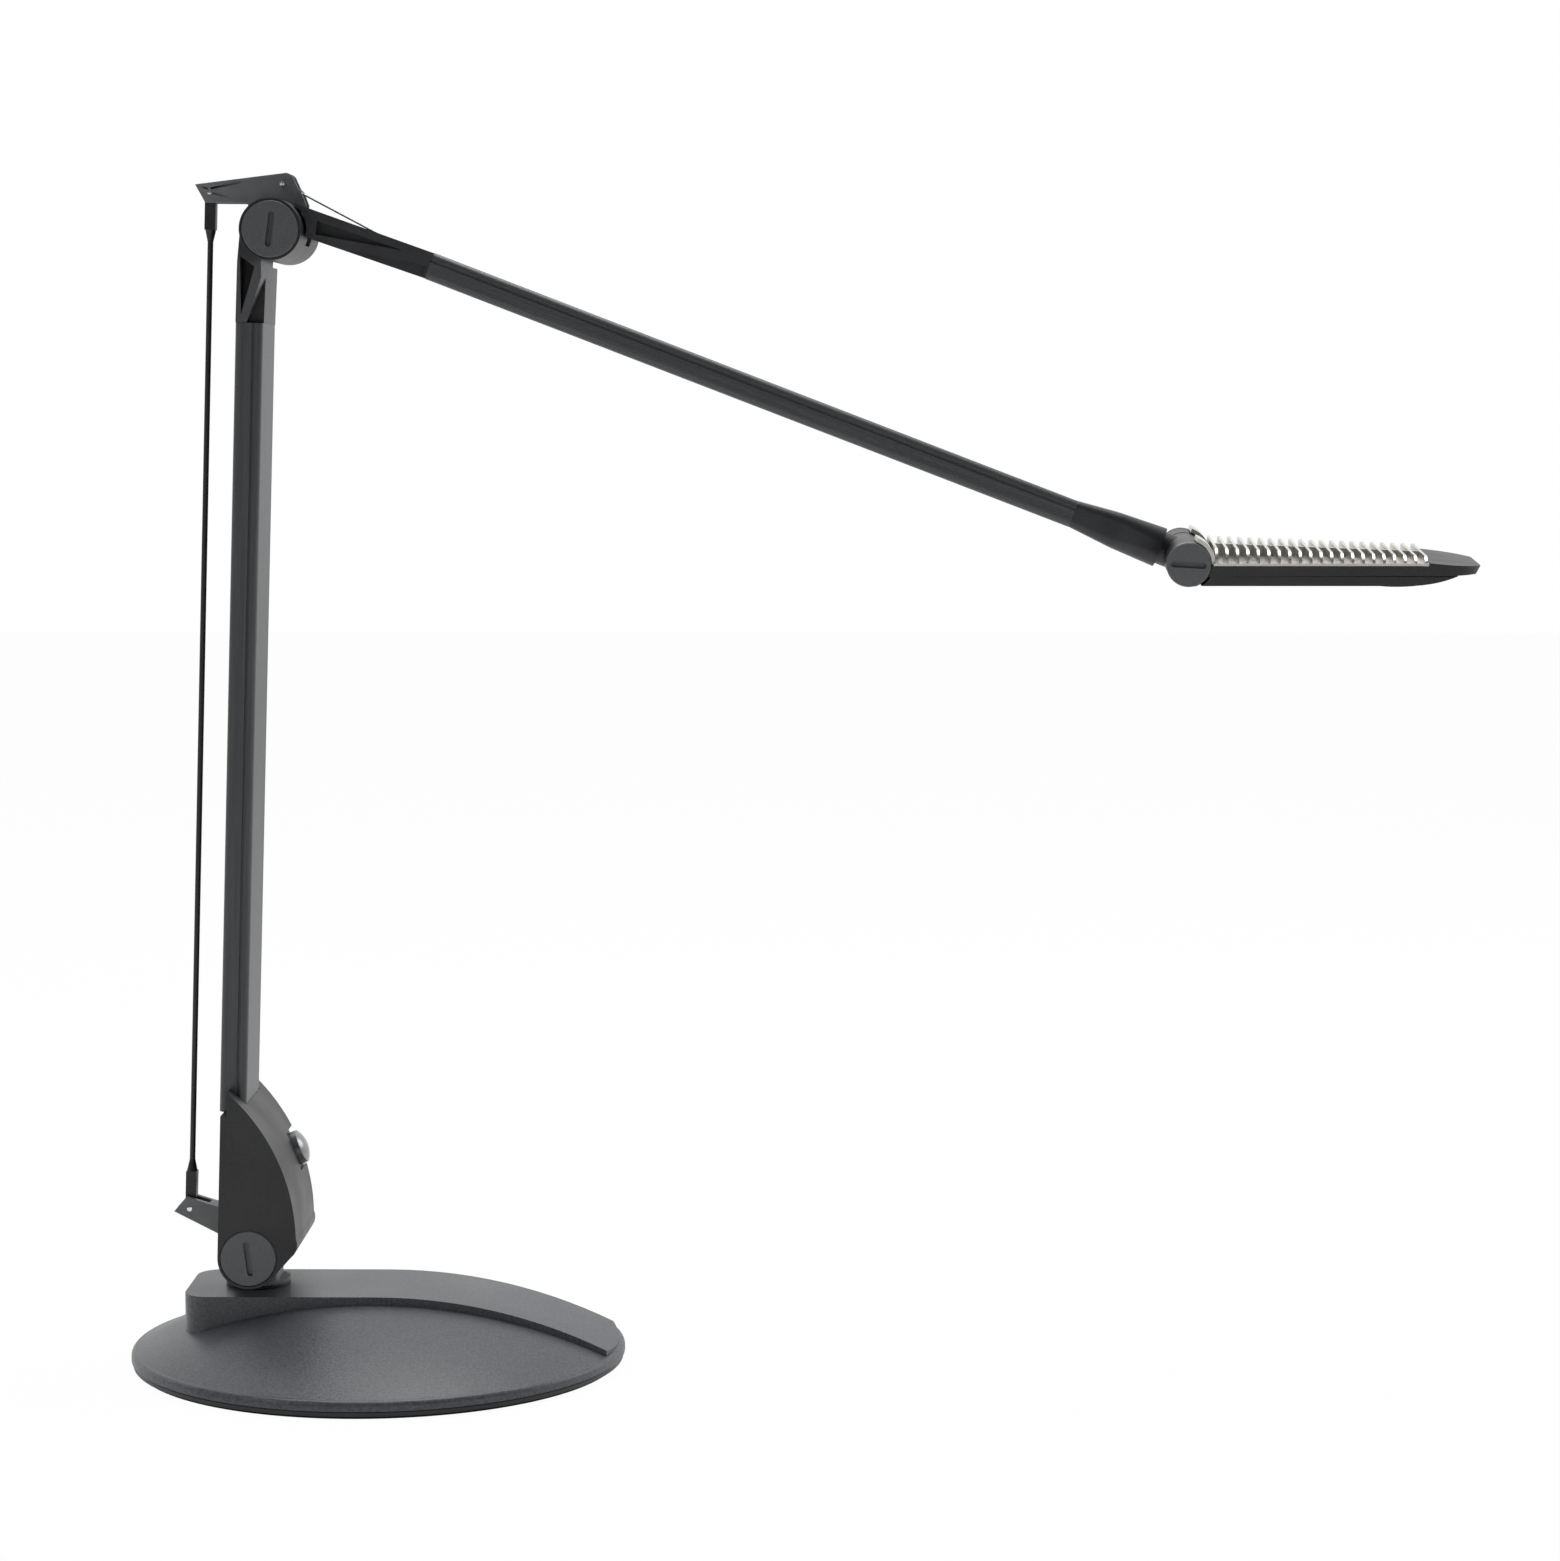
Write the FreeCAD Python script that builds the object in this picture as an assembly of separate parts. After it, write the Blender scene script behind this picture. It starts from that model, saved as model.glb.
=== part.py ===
import FreeCAD, Part
import math
import os

os.makedirs("parts", exist_ok=True)

# Spring-balanced desk lamp with two arms, a parallel rod and a finned light head.
# Millimetres and degrees. The origin is the middle of the base's underside, +Z is up,
# +X points from the arm's foot to the light head, and the tension knobs face -Y.

# ---- where the joints stand at rest
BASE_RADIUS = 115.0
HINGE_INSET = 58.5
HINGE_X = HINGE_INSET - BASE_RADIUS
HINGE_HEIGHT = 54.5
LOWER_ARM_LENGTH = 470.0
UPPER_ARM_LENGTH = 440.0
LOWER_ARM_LEAN = 1.9
UPPER_ARM_FALL = 21.0
HEAD_ROLL = 4.5

# ---- clearances
RUN = 0.05          # radial, between a shaft and the bore that turns on it
SIDE = 0.3          # between faces that turn past each other
FIT = 0.1           # between pieces that are fixed together
SWEEP = 1.2         # round a knuckle, for the casting that swings past it

# ---- base
PAD_THICKNESS = 1.4
PAD_INSET = 3.0
PLATE_THICKNESS = 2.0
PLATE_INSET = 0.8
COVER_WALL = 2.6
RIM_HEIGHT = 5.2
DOME_HEIGHT = 34.0
PLATFORM_HEIGHT = 36.0
PLATFORM_HALF_WIDTH = 30.0
PLATFORM_INSET = 27.0
PLATFORM_LEFT = PLATFORM_INSET - BASE_RADIUS
PLATFORM_CORNER = 12.0
PLATFORM_BEND_X = 2.0
PLATFORM_BEND_RADIUS = 240.0
WEIGHT_THICKNESS = 11.9
WEIGHT_RADIUS = BASE_RADIUS - 9.0
WEIGHT_TOP_RADIUS = BASE_RADIUS - 29.0
BASE_SCREW_CIRCLE = BASE_RADIUS - 37.0
BASE_SCREW_RADIUS = 2.0
BASE_SCREW_COUNT = 4

# ---- swivel between the base and the hinge bracket
SPINDLE_RADIUS = 6.0
SPINDLE_LENGTH = 20.5
BUSH_WALL = 2.5
BUSH_FLANGE_RADIUS = 15.0
BUSH_FLANGE_THICKNESS = 1.2
BUSH_LENGTH = 12.6
FOOT_THICKNESS = 1.9
NUT_THICKNESS = 4.8
NUT_RADIUS = 9.8
WASHER_THICKNESS = 1.0
WASHER_RADIUS = 12.0

# ---- hinge bracket with the lever that holds the rod
COLUMN_HALF_WIDTH = 10.5
BARREL_RADIUS = 11.5
BARREL_HALF_LENGTH = 12.3
LEVER_HALF_WIDTH = 6.2
LEVER_PIN_BACK = 31.0
LEVER_PIN_UP = 17.9
ROD_SLOT_HALF_WIDTH = 3.2
ROD_PIN_RADIUS = 1.2
ROD_RADIUS = 1.3
ROD_EYE_HALF_WIDTH = 2.5
ROD_EYE_LENGTH = 17.0
ROD_TAPER = 5.5

# ---- bolts and tension knobs
BOLT_RADIUS = 4.0
BOLT_HEAD_RADIUS = 7.0
KNOB_RADIUS = 12.9
KNOB_GAP = 0.25
KNOB_SLOT_LENGTH = 16.0
KNOB_SLOT_WIDTH = 2.8
KNOB_SLOT_DEPTH = 2.0
KNOB_EDGE = 0.5

# ---- arm tubes, one extrusion for both arms
TUBE_OFFSET = 10.2
TUBE_HALF_THICKNESS = 6.25
TUBE_HALF_DEPTH = 22.0
TUBE_WALL = 1.6
TUBE_CORNER = 3.0
TUBE_GROOVE_FROM_EDGE = 4.0
TUBE_GROOVE_WIDTH = 1.2
TUBE_GROOVE_DEPTH = 0.8
SPIGOT_LENGTH = 28.0

# ---- housing round the foot of the lower arm
CASING_HALF_WIDTH = 33.0
CASING_WALL = 2.2
CASING_SPLIT = 13.0
CASING_ROUND = 14.2
CASING_TOP = 77.0
CASING_BELLY = 22.0
LOWER_TUBE_START = 66.0
BUTTON_UP_ARM = 42.0
BUTTON_FRONT = 14.4
BUTTON_FALL = 65.8
BUTTON_Y = 22.5
BUTTON_RADIUS = 8.0
BUTTON_TRAVEL = 1.2
RECESS_DEPTH = 2.4

# ---- elbow
ELBOW_HALF_LENGTH = 33.0
ELBOW_RADIUS = 14.0
ELBOW_SPLIT = 6.75
LOWER_BRACKET_LENGTH = 42.0
UPPER_BRACKET_LENGTH = 71.5
CRANK_HALF_WIDTH = 6.3
CRANK_SHEET = 1.6
CRANK_HUB_RADIUS = 8.8
WIRE_PIN_X = 2.2
WIRE_PIN_Z = 21.7
WIRE_RADIUS = 0.45
WIRE_HOOK_ALONG = 84.0
SPRING_END_ALONG = 236.0
SPRING_RADIUS = 4.2
ANCHOR_COVER = 0.6

# ---- cuff, neck and head
CUFF_LENGTH = 43.0
CUFF_GAP = 13.0
CUFF_END_HALF_HEIGHT = 9.2
CUFF_END_HALF_DEPTH = 16.5
NECK_PIN_RADIUS = 5.0
NECK_COLLAR_RADIUS = 7.6
NECK_BARREL_RADIUS = 9.8
NECK_BARREL_HALF_LENGTH = 12.0
HEAD_BOLT_RADIUS = 3.0
HEAD_KNOB_RADIUS = 10.1
HEAD_HALF_WIDTH = 33.0
HEAD_TAPER = 2.5
HEAD_LENGTH = 133.0
HEAD_NOSE_START = 104.0
EAR_RADIUS = 10.0
EAR_END = 30.2
TRAY_TOP = -0.7
TRAY_BOTTOM = -5.4
BEZEL_BOTTOM = -9.7
SINK_START = 11.2
SINK_END = 108.2
SINK_BASE = 1.3
FIN_COUNT = 21
FIN_PITCH = 4.72
FIN_THICKNESS = 1.3
FIN_HEIGHT = 6.4
FIN_HEIGHT_LAST = 3.0
DIFFUSER_THICKNESS = 2.0
DIFFUSER_START = 15.5
DIFFUSER_END_GAP = 7.5
DIFFUSER_HALF_WIDTH = 27.2
DIFFUSER_LEDGE = 3.3
BOARD_MARGIN = 2.3
LED_ROWS = 2
LED_COLUMNS = 12

# ---- worked out from the values above
PLATE_TOP = PAD_THICKNESS + PLATE_THICKNESS
WEIGHT_TOP = PLATE_TOP + WEIGHT_THICKNESS
FOOT_BOTTOM = PLATFORM_HEIGHT + BUSH_FLANGE_THICKNESS + SIDE
BUSH_BOTTOM = PLATFORM_HEIGHT - BUSH_LENGTH
BUSH_RADIUS = SPINDLE_RADIUS + BUSH_WALL
TUBE_IN = TUBE_OFFSET - TUBE_HALF_THICKNESS
TUBE_OUT = TUBE_OFFSET + TUBE_HALF_THICKNESS
LOWER_FALL = LOWER_ARM_LEAN - 90.0
KNOB_SEAT = 3.4


def vec(x, y, z):
    return FreeCAD.Vector(x, y, z)


ORIGIN = vec(0, 0, 0)
AXIS_X = vec(1, 0, 0)
AXIS_Y = vec(0, 1, 0)
AXIS_Z = vec(0, 0, 1)

lean = math.radians(LOWER_ARM_LEAN)
fall = math.radians(UPPER_ARM_FALL)
HINGE = vec(HINGE_X, 0, HINGE_HEIGHT)
ELBOW = HINGE + vec(math.sin(lean), 0, math.cos(lean)) * LOWER_ARM_LENGTH
ARM_DIRECTION = vec(math.cos(fall), 0, -math.sin(fall))
ARM_OUTWARD = vec(math.sin(fall), 0, math.cos(fall))
HEAD_PIVOT = ELBOW + ARM_DIRECTION * UPPER_ARM_LENGTH + ARM_OUTWARD * TUBE_OFFSET


# ---------------------------------------------------------------- drawing helpers
def side(x, z):
    return vec(x, 0, z)


def plan(x, y):
    return vec(x, y, 0)


def section(y, z):
    return vec(0, y, z)


def closed_wire(plane, steps):
    """Joins the steps into a closed wire. A step is a corner (u, v), or the
    middle and end (mu, mv, u, v) of an arc."""
    first = plane(*steps[0])
    last = first
    edges = []
    for step in steps[1:]:
        end = plane(*step[-2:])
        if len(step) == 4:
            edges.append(Part.Arc(last, plane(*step[:2]), end).toShape())
        else:
            edges.append(Part.makeLine(last, end))
        last = end
    if last.distanceToPoint(first) > 1e-6:
        edges.append(Part.makeLine(last, first))
    return Part.Wire(edges)


def pushed(face, start, run):
    solid = face.extrude(run)
    solid.translate(start)
    return solid


def side_prism(steps, y0, y1):
    return pushed(Part.Face(closed_wire(side, steps)), vec(0, y0, 0), vec(0, y1 - y0, 0))


def plan_prism(steps, z0, z1):
    return pushed(Part.Face(closed_wire(plan, steps)), vec(0, 0, z0), vec(0, 0, z1 - z0))


def section_prism(steps, x0, x1):
    return pushed(Part.Face(closed_wire(section, steps)), vec(x0, 0, 0), vec(x1 - x0, 0, 0))


def turned(steps):
    """Solid of revolution about Z from a profile in x and z."""
    return Part.Face(closed_wire(side, steps)).revolve(ORIGIN, AXIS_Z, 360)


def pin_x(radius, x0, x1, y=0.0, z=0.0):
    return Part.makeCylinder(radius, x1 - x0, vec(x0, y, z), AXIS_X)


def pin_y(radius, y0, y1, x=0.0, z=0.0):
    return Part.makeCylinder(radius, y1 - y0, vec(x, y0, z), AXIS_Y)


def pin_z(radius, z0, z1, x=0.0, y=0.0):
    return Part.makeCylinder(radius, z1 - z0, vec(x, y, z0), AXIS_Z)


def block(x0, x1, y0, y1, z0, z1):
    return Part.makeBox(x1 - x0, y1 - y0, z1 - z0, vec(x0, y0, z0))


def ring_y(outer, inner, y0, y1, x=0.0, z=0.0):
    return pin_y(outer, y0, y1, x, z).cut(pin_y(inner, y0 - 1, y1 + 1, x, z))


def join(pieces):
    return pieces[0].fuse(pieces[1:]).removeSplitter()


def cut(shape, tools):
    for tool in tools:
        shape = shape.cut(tool)
    return shape


def mirrored_y(shape):
    return shape.mirror(ORIGIN, AXIS_Y)


def rounded_bar(x0, x1, half_depth, low, high, corner):
    """Bar along X with a rounded rectangular section, low and high in Z."""
    flat = half_depth - corner
    bend = corner * (1 - math.sqrt(0.5))
    steps = [(-flat, low), (flat, low),
             (half_depth - bend, low + bend, half_depth, low + corner),
             (half_depth, high - corner),
             (half_depth - bend, high - bend, flat, high), (-flat, high),
             (bend - half_depth, high - bend, -half_depth, high - corner),
             (-half_depth, low + corner),
             (bend - half_depth, low + bend, -flat, low)]
    return section_prism(steps, x0, x1)


def placed(shape, pivot, angle):
    """Turns a piece drawn along +X down by the angle, then moves it to its pivot."""
    moved = shape.copy()
    moved.rotate(ORIGIN, AXIS_Y, angle)
    moved.translate(pivot)
    return moved


def on_lower_arm(shape):
    return placed(shape, HINGE, LOWER_FALL)


def on_lower_elbow(shape):
    return placed(shape, ELBOW, LOWER_FALL)


def on_upper_arm(shape):
    return placed(shape, ELBOW, UPPER_ARM_FALL)


def on_neck(shape):
    rolled = shape.copy()
    rolled.rotate(ORIGIN, AXIS_X, HEAD_ROLL)
    return placed(rolled, HEAD_PIVOT, UPPER_ARM_FALL)


def on_head(shape):
    moved = shape.copy()
    moved.translate(HEAD_PIVOT)
    moved.rotate(HEAD_PIVOT, ARM_DIRECTION, HEAD_ROLL)
    return moved


def save(name, shape):
    if not shape.isValid():
        raise ValueError(name + " is not a valid shape")
    if shape.Volume <= 0:
        raise ValueError(name + " has no volume")
    shape.exportStep("parts/" + name + ".step")
    print(name, len(shape.Solids), round(shape.Volume, 1))


# ---------------------------------------------------------------- base
def dome_height(radius, inset=0.0):
    """Height of the dome's arc at a radius, or of the arc inset below it."""
    edge = BASE_RADIUS - PLATE_INSET * 3.5
    drop = DOME_HEIGHT - PLATE_TOP - RIM_HEIGHT
    ball = (edge ** 2 + drop ** 2) / (2 * drop)
    return DOME_HEIGHT - ball + math.sqrt((ball - inset) ** 2 - radius ** 2)


def screw_spots():
    for index in range(BASE_SCREW_COUNT):
        angle = math.radians(45 + 360 * index / BASE_SCREW_COUNT)
        yield BASE_SCREW_CIRCLE * math.cos(angle), BASE_SCREW_CIRCLE * math.sin(angle)


def base_pad():
    return pin_z(BASE_RADIUS - PAD_INSET, 0, PAD_THICKNESS)


def base_plate():
    plate = pin_z(BASE_RADIUS - PLATE_INSET, PAD_THICKNESS, PLATE_TOP)
    sink = 2 * BASE_SCREW_RADIUS + FIT
    holes = [Part.makeCone(sink, BASE_SCREW_RADIUS + FIT, PLATE_THICKNESS, vec(x, y, PAD_THICKNESS))
             for x, y in screw_spots()]
    return cut(plate, holes)


def base_weight():
    shoulder = PLATE_TOP + 0.3 * WEIGHT_THICKNESS
    body = turned([(0, PLATE_TOP), (WEIGHT_RADIUS, PLATE_TOP), (WEIGHT_RADIUS, shoulder),
                   (WEIGHT_TOP_RADIUS, WEIGHT_TOP), (0, WEIGHT_TOP)])
    holes = [pin_z(BASE_SCREW_RADIUS + SIDE, 0, DOME_HEIGHT, x, y) for x, y in screw_spots()]
    return cut(body, holes)


def base_screws():
    screws = []
    for x, y in screw_spots():
        head = Part.makeCone(2 * BASE_SCREW_RADIUS, BASE_SCREW_RADIUS, PLATE_THICKNESS,
                             vec(x, y, PAD_THICKNESS))
        shank = pin_z(BASE_SCREW_RADIUS, PAD_THICKNESS, WEIGHT_TOP + 3.2, x, y)
        socket = pin_z(BASE_SCREW_RADIUS * 0.6, 0, PAD_THICKNESS + 1.0, x, y)
        screws.append(cut(join([head, shank]), [socket]))
    return Part.makeCompound(screws)


def platform(inset):
    """Straight bridge across the dome: flat over the hinge, then bent down to the far rim."""
    top = PLATFORM_HEIGHT - inset
    left = PLATFORM_LEFT + inset
    half = PLATFORM_HALF_WIDTH - inset
    corner = PLATFORM_CORNER - inset
    bend = PLATFORM_BEND_RADIUS - inset
    reach = BASE_RADIUS + 2 - PLATFORM_BEND_X

    def bent(run):
        return top - bend + math.sqrt(bend ** 2 - run ** 2)

    long_side = side_prism([(left, -PLATFORM_HEIGHT), (left, top), (PLATFORM_BEND_X, top),
                            (PLATFORM_BEND_X + reach / 2, bent(reach / 2),
                             PLATFORM_BEND_X + reach, bent(reach)),
                            (PLATFORM_BEND_X + reach, -PLATFORM_HEIGHT)], -half, half)
    bow = corner * (1 - math.sqrt(0.5))
    outline = plan_prism([(BASE_RADIUS + 9, -half), (BASE_RADIUS + 9, half), (left + corner, half),
                          (left + bow, half - bow, left, half - corner), (left, corner - half),
                          (left + bow, bow - half, left + corner, -half)], 0, PLATFORM_HEIGHT + 9)
    return long_side.common(outline)


def cover_blank(inset, edge_radius):
    """Dome and platform as one solid: arched at the outer skin, in three straight runs inside."""
    low = PLATE_TOP
    edge_z = dome_height(edge_radius, inset)
    half = edge_radius / 2
    third = edge_radius / 3
    arch = [(half, dome_height(half, inset), 0, DOME_HEIGHT - inset)]
    runs = [(2 * third, dome_height(2 * third, inset)), (third, dome_height(third, inset)),
            (0, DOME_HEIGHT - inset)]
    dome = turned([(0, low), (edge_radius, low), (edge_radius, edge_z)] + (runs if inset else arch))
    bridge = platform(inset).common(pin_z(edge_radius, low, PLATFORM_HEIGHT + 1))
    return join([dome, bridge])


def base_cover():
    edge = BASE_RADIUS - PLATE_INSET * 3.5
    rim_foot = PLATE_TOP + 0.6
    rim_top = PLATE_TOP + RIM_HEIGHT
    rim = turned([(edge - 4, PLATE_TOP), (BASE_RADIUS - 1.2, PLATE_TOP), (BASE_RADIUS - 1.2, rim_foot),
                  (BASE_RADIUS, rim_foot), (BASE_RADIUS, rim_top - 2.6),
                  (BASE_RADIUS - 0.7, rim_top - 0.9, edge, rim_top), (edge - 4, rim_top)])
    outer = join([cover_blank(0, edge), rim])
    shell = outer.cut(cover_blank(COVER_WALL, edge - COVER_WALL))
    bosses = [pin_z(2.2 * BASE_SCREW_RADIUS, WEIGHT_TOP, DOME_HEIGHT, x, y) for x, y in screw_spots()]
    hub = pin_z(BUSH_RADIUS + 4.5, BUSH_BOTTOM, PLATFORM_HEIGHT, HINGE_X)
    shell = join([shell] + [boss.common(outer) for boss in bosses] + [hub.common(outer)])
    pilots = [pin_z(BASE_SCREW_RADIUS + RUN, 0, WEIGHT_TOP + 3.6, x, y) for x, y in screw_spots()]
    bore = pin_z(BUSH_RADIUS + RUN, 0, PLATFORM_HEIGHT + 9, HINGE_X)
    return cut(shell, pilots + [bore])


def swivel_bush():
    body = join([pin_z(BUSH_RADIUS, BUSH_BOTTOM, PLATFORM_HEIGHT, HINGE_X),
                 pin_z(BUSH_FLANGE_RADIUS, PLATFORM_HEIGHT, PLATFORM_HEIGHT + BUSH_FLANGE_THICKNESS,
                       HINGE_X)])
    return body.cut(pin_z(SPINDLE_RADIUS + RUN, 0, HINGE_HEIGHT, HINGE_X))


# ---------------------------------------------------------------- hinge bracket
def knob_slot(radius, length, outer_y, angle):
    """Tool for a screwdriver or coin slot in a knob's outer face."""
    half = KNOB_SLOT_WIDTH / 2
    reach = min(length / 2, radius - 2)
    steps = [(half - reach, -half), (reach - half, -half), (reach, 0, reach - half, half),
             (half - reach, half), (-reach, 0, half - reach, -half)]
    tool = side_prism(steps, outer_y - 1, outer_y + KNOB_SLOT_DEPTH)
    tool.rotate(ORIGIN, AXIS_Y, angle)
    return tool


def knob_disc(radius, y0, y1):
    """Round knob face with a bevelled edge at y0."""
    face = pin_y(radius, y0 + KNOB_EDGE, y1)
    bevel = Part.makeCone(radius - KNOB_EDGE, radius, KNOB_EDGE, vec(0, y0, 0), AXIS_Y)
    return join([bevel, face])


def tension_knob(radius, bolt_radius, face_y, seat_y, boss_radius, boss_end, slot_angle):
    """Knob on the bolt's end: disc, boss towards the joint, blind bore and coin slot."""
    body = join([knob_disc(radius, face_y, seat_y), pin_y(boss_radius, seat_y, boss_end)])
    bore = pin_y(bolt_radius + RUN, seat_y - 0.6, boss_end + 1)
    return cut(body, [bore, knob_slot(radius, KNOB_SLOT_LENGTH, face_y, slot_angle)])


def hinge_bracket():
    foot_low = FOOT_BOTTOM - HINGE_HEIGHT
    foot = pin_z(BUSH_FLANGE_RADIUS, foot_low, foot_low + FOOT_THICKNESS)
    spindle = pin_z(SPINDLE_RADIUS, foot_low - SPINDLE_LENGTH, foot_low)
    column = block(-COLUMN_HALF_WIDTH, COLUMN_HALF_WIDTH, SIDE * 2 - BARREL_HALF_LENGTH,
                   BARREL_HALF_LENGTH - SIDE * 2, foot_low, 0)
    column = column.makeFillet(3.0, [edge for edge in column.Edges
                                     if edge.BoundBox.XLength + edge.BoundBox.YLength < 0.01])
    barrel = pin_y(BARREL_RADIUS, -BARREL_HALF_LENGTH, BARREL_HALF_LENGTH)
    back, up = -LEVER_PIN_BACK, LEVER_PIN_UP
    lever = side_prism([(back - 1.3, up + 5.6), (back - 7.2, up - 1.2), (-6.0, 0.2), (-2.0, 14.0)],
                       -LEVER_HALF_WIDTH, LEVER_HALF_WIDTH)
    slot = block(back - 20, back + 9, -ROD_SLOT_HALF_WIDTH, ROD_SLOT_HALF_WIDTH, 0, up + 20)
    body = join([foot, spindle, column, barrel, lever])
    body = cut(body, [pin_y(BOLT_RADIUS + RUN, -40, 40), slot,
                      pin_y(ROD_PIN_RADIUS + RUN, -40, 40, back, up)])
    body.translate(HINGE)
    return body


def swivel_nut():
    top = BUSH_BOTTOM - SIDE - WASHER_THICKNESS
    corners = [(NUT_RADIUS * math.cos(math.radians(60 * k)), NUT_RADIUS * math.sin(math.radians(60 * k)))
               for k in range(6)]
    nut = plan_prism(corners, top - NUT_THICKNESS, top)
    washer = pin_z(WASHER_RADIUS, top, top + WASHER_THICKNESS)
    body = join([nut, washer]).cut(pin_z(SPINDLE_RADIUS + RUN, 0, 60))
    body.translate(vec(HINGE_X, 0, 0))
    return body


def pin_with_heads(half_length):
    """Rivet through a fork, a little proud at both ends."""
    return pin_y(ROD_PIN_RADIUS, -half_length - 0.2, half_length + 0.2)


def lever_pin():
    pin = pin_with_heads(LEVER_HALF_WIDTH)
    pin.translate(HINGE + vec(-LEVER_PIN_BACK, 0, LEVER_PIN_UP))
    return pin


def rod_end():
    """Flat eye and the cone that runs into the round rod, drawn along +X."""
    half_depth = ROD_SLOT_HALF_WIDTH - SIDE
    eye = pin_y(ROD_EYE_HALF_WIDTH, -half_depth, half_depth)
    flat = block(0, ROD_EYE_LENGTH, -half_depth, half_depth, -ROD_EYE_HALF_WIDTH, ROD_EYE_HALF_WIDTH)
    cone = Part.makeCone(ROD_EYE_HALF_WIDTH, ROD_RADIUS, ROD_TAPER, vec(ROD_EYE_LENGTH, 0, 0), AXIS_X)
    return join([eye, flat, cone]).cut(pin_y(ROD_PIN_RADIUS + RUN, -9, 9))


def link_rod():
    start = rod_end()
    finish = rod_end()
    finish.rotate(ORIGIN, AXIS_Z, 180)
    finish.translate(vec(LOWER_ARM_LENGTH, 0, 0))
    shank = pin_x(ROD_RADIUS, ROD_EYE_LENGTH + 1, LOWER_ARM_LENGTH - ROD_EYE_LENGTH - 1)
    rod = join([start, shank, finish])
    return placed(rod, HINGE + vec(-LEVER_PIN_BACK, 0, LEVER_PIN_UP), LOWER_FALL)


# ---------------------------------------------------------------- lower arm
def arm_tube(x0, x1, groove_z):
    """Flat oval extrusion with a thin groove along both narrow sides."""
    outer = rounded_bar(x0, x1, TUBE_HALF_DEPTH, TUBE_IN, TUBE_OUT, TUBE_CORNER)
    inner = rounded_bar(x0 - 1, x1 + 1, TUBE_HALF_DEPTH - TUBE_WALL, TUBE_IN + TUBE_WALL,
                        TUBE_OUT - TUBE_WALL, TUBE_CORNER - TUBE_WALL)
    low = groove_z - TUBE_GROOVE_WIDTH / 2
    floor = TUBE_HALF_DEPTH - TUBE_GROOVE_DEPTH
    groove = block(x0 - 1, x1 + 1, floor, TUBE_HALF_DEPTH + 1, low, low + TUBE_GROOVE_WIDTH)
    return cut(outer, [inner, groove, mirrored_y(groove)])


def spigot(x0, x1):
    """Plug that fills the inside of a tube."""
    return rounded_bar(x0, x1, TUBE_HALF_DEPTH - TUBE_WALL - FIT, TUBE_IN + TUBE_WALL + FIT,
                       TUBE_OUT - TUBE_WALL - FIT, TUBE_CORNER - TUBE_WALL)


def lower_tube():
    return on_lower_arm(arm_tube(LOWER_TUBE_START, LOWER_ARM_LENGTH - LOWER_BRACKET_LENGTH,
                                 TUBE_IN + TUBE_GROOVE_FROM_EDGE))


def arm_fork():
    """Casting inside the housing: two cheeks on the hinge, a bridge and a plug in the tube."""
    inner = BARREL_HALF_LENGTH + SIDE
    outer = inner + 5.0
    cheek_radius = CASING_ROUND - CASING_WALL - SIDE
    profile = [(0, cheek_radius), (LOWER_TUBE_START - 6, cheek_radius), (LOWER_TUBE_START - 6, TUBE_IN),
               (8, -9.0), (0, -cheek_radius + 1)]
    cheek = join([side_prism(profile, inner, outer), pin_y(cheek_radius, inner, outer)])
    bridge = block(LOWER_TUBE_START - 14, LOWER_TUBE_START, -outer, outer, TUBE_IN + 2, cheek_radius)
    plug = spigot(LOWER_TUBE_START - 4, LOWER_TUBE_START + SPIGOT_LENGTH)
    plug = plug.common(block(0, 200, -99, 99, 0, cheek_radius)).fuse(
        plug.common(block(LOWER_TUBE_START, 200, -99, 99, -99, 99)))
    body = join([cheek, mirrored_y(cheek), bridge, plug])
    return on_lower_arm(body.cut(pin_y(BOLT_RADIUS + FIT, -40, 40)))


def casing_outline():
    """Side outline of the housing, along the arm and outwards, with the chin rounded."""
    r = CASING_ROUND
    belly = CASING_BELLY
    return [(0, r), (LOWER_TUBE_START - FIT, r), (LOWER_TUBE_START - FIT, r - 2.7),
            (CASING_TOP, r - 2.7), (0.606 * CASING_TOP, -0.56 * belly, 0.13 * CASING_TOP, 0.3 - belly),
            (0.06 * CASING_TOP, -belly, 0.02 * CASING_TOP, 2.1 - belly),
            (-0.676 * r, -0.737 * r), (-r, 0, 0, r)]


def casing_half(y0, y1, wall_y0, wall_y1):
    """One half shell of the housing between y0 and y1, hollow between wall_y0 and wall_y1."""
    outer = side_prism(casing_outline(), y0, y1)
    inset = Part.Face(closed_wire(side, casing_outline())).makeOffset2D(-CASING_WALL)
    hollow = pushed(inset, vec(0, wall_y0, 0), vec(0, wall_y1 - wall_y0, 0))
    reach = TUBE_HALF_DEPTH + FIT
    tube_hole = block(LOWER_TUBE_START - FIT, CASING_TOP + 9, -reach, reach, TUBE_IN - FIT, TUBE_OUT + 9)
    plug_hole = block(LOWER_TUBE_START - 4, CASING_TOP, -reach, reach, TUBE_IN - FIT,
                      CASING_ROUND - CASING_WALL)
    return cut(outer, [hollow, tube_hole, plug_hole])


def casing_screw_spots():
    return [(54.0, -2.6), (15.0, -16.6)]


def knob_window(y0, y1):
    """Round window with the seat ring that a knob or cap sits on."""
    return [pin_y(KNOB_RADIUS + KNOB_GAP, y0, y1)]


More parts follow.
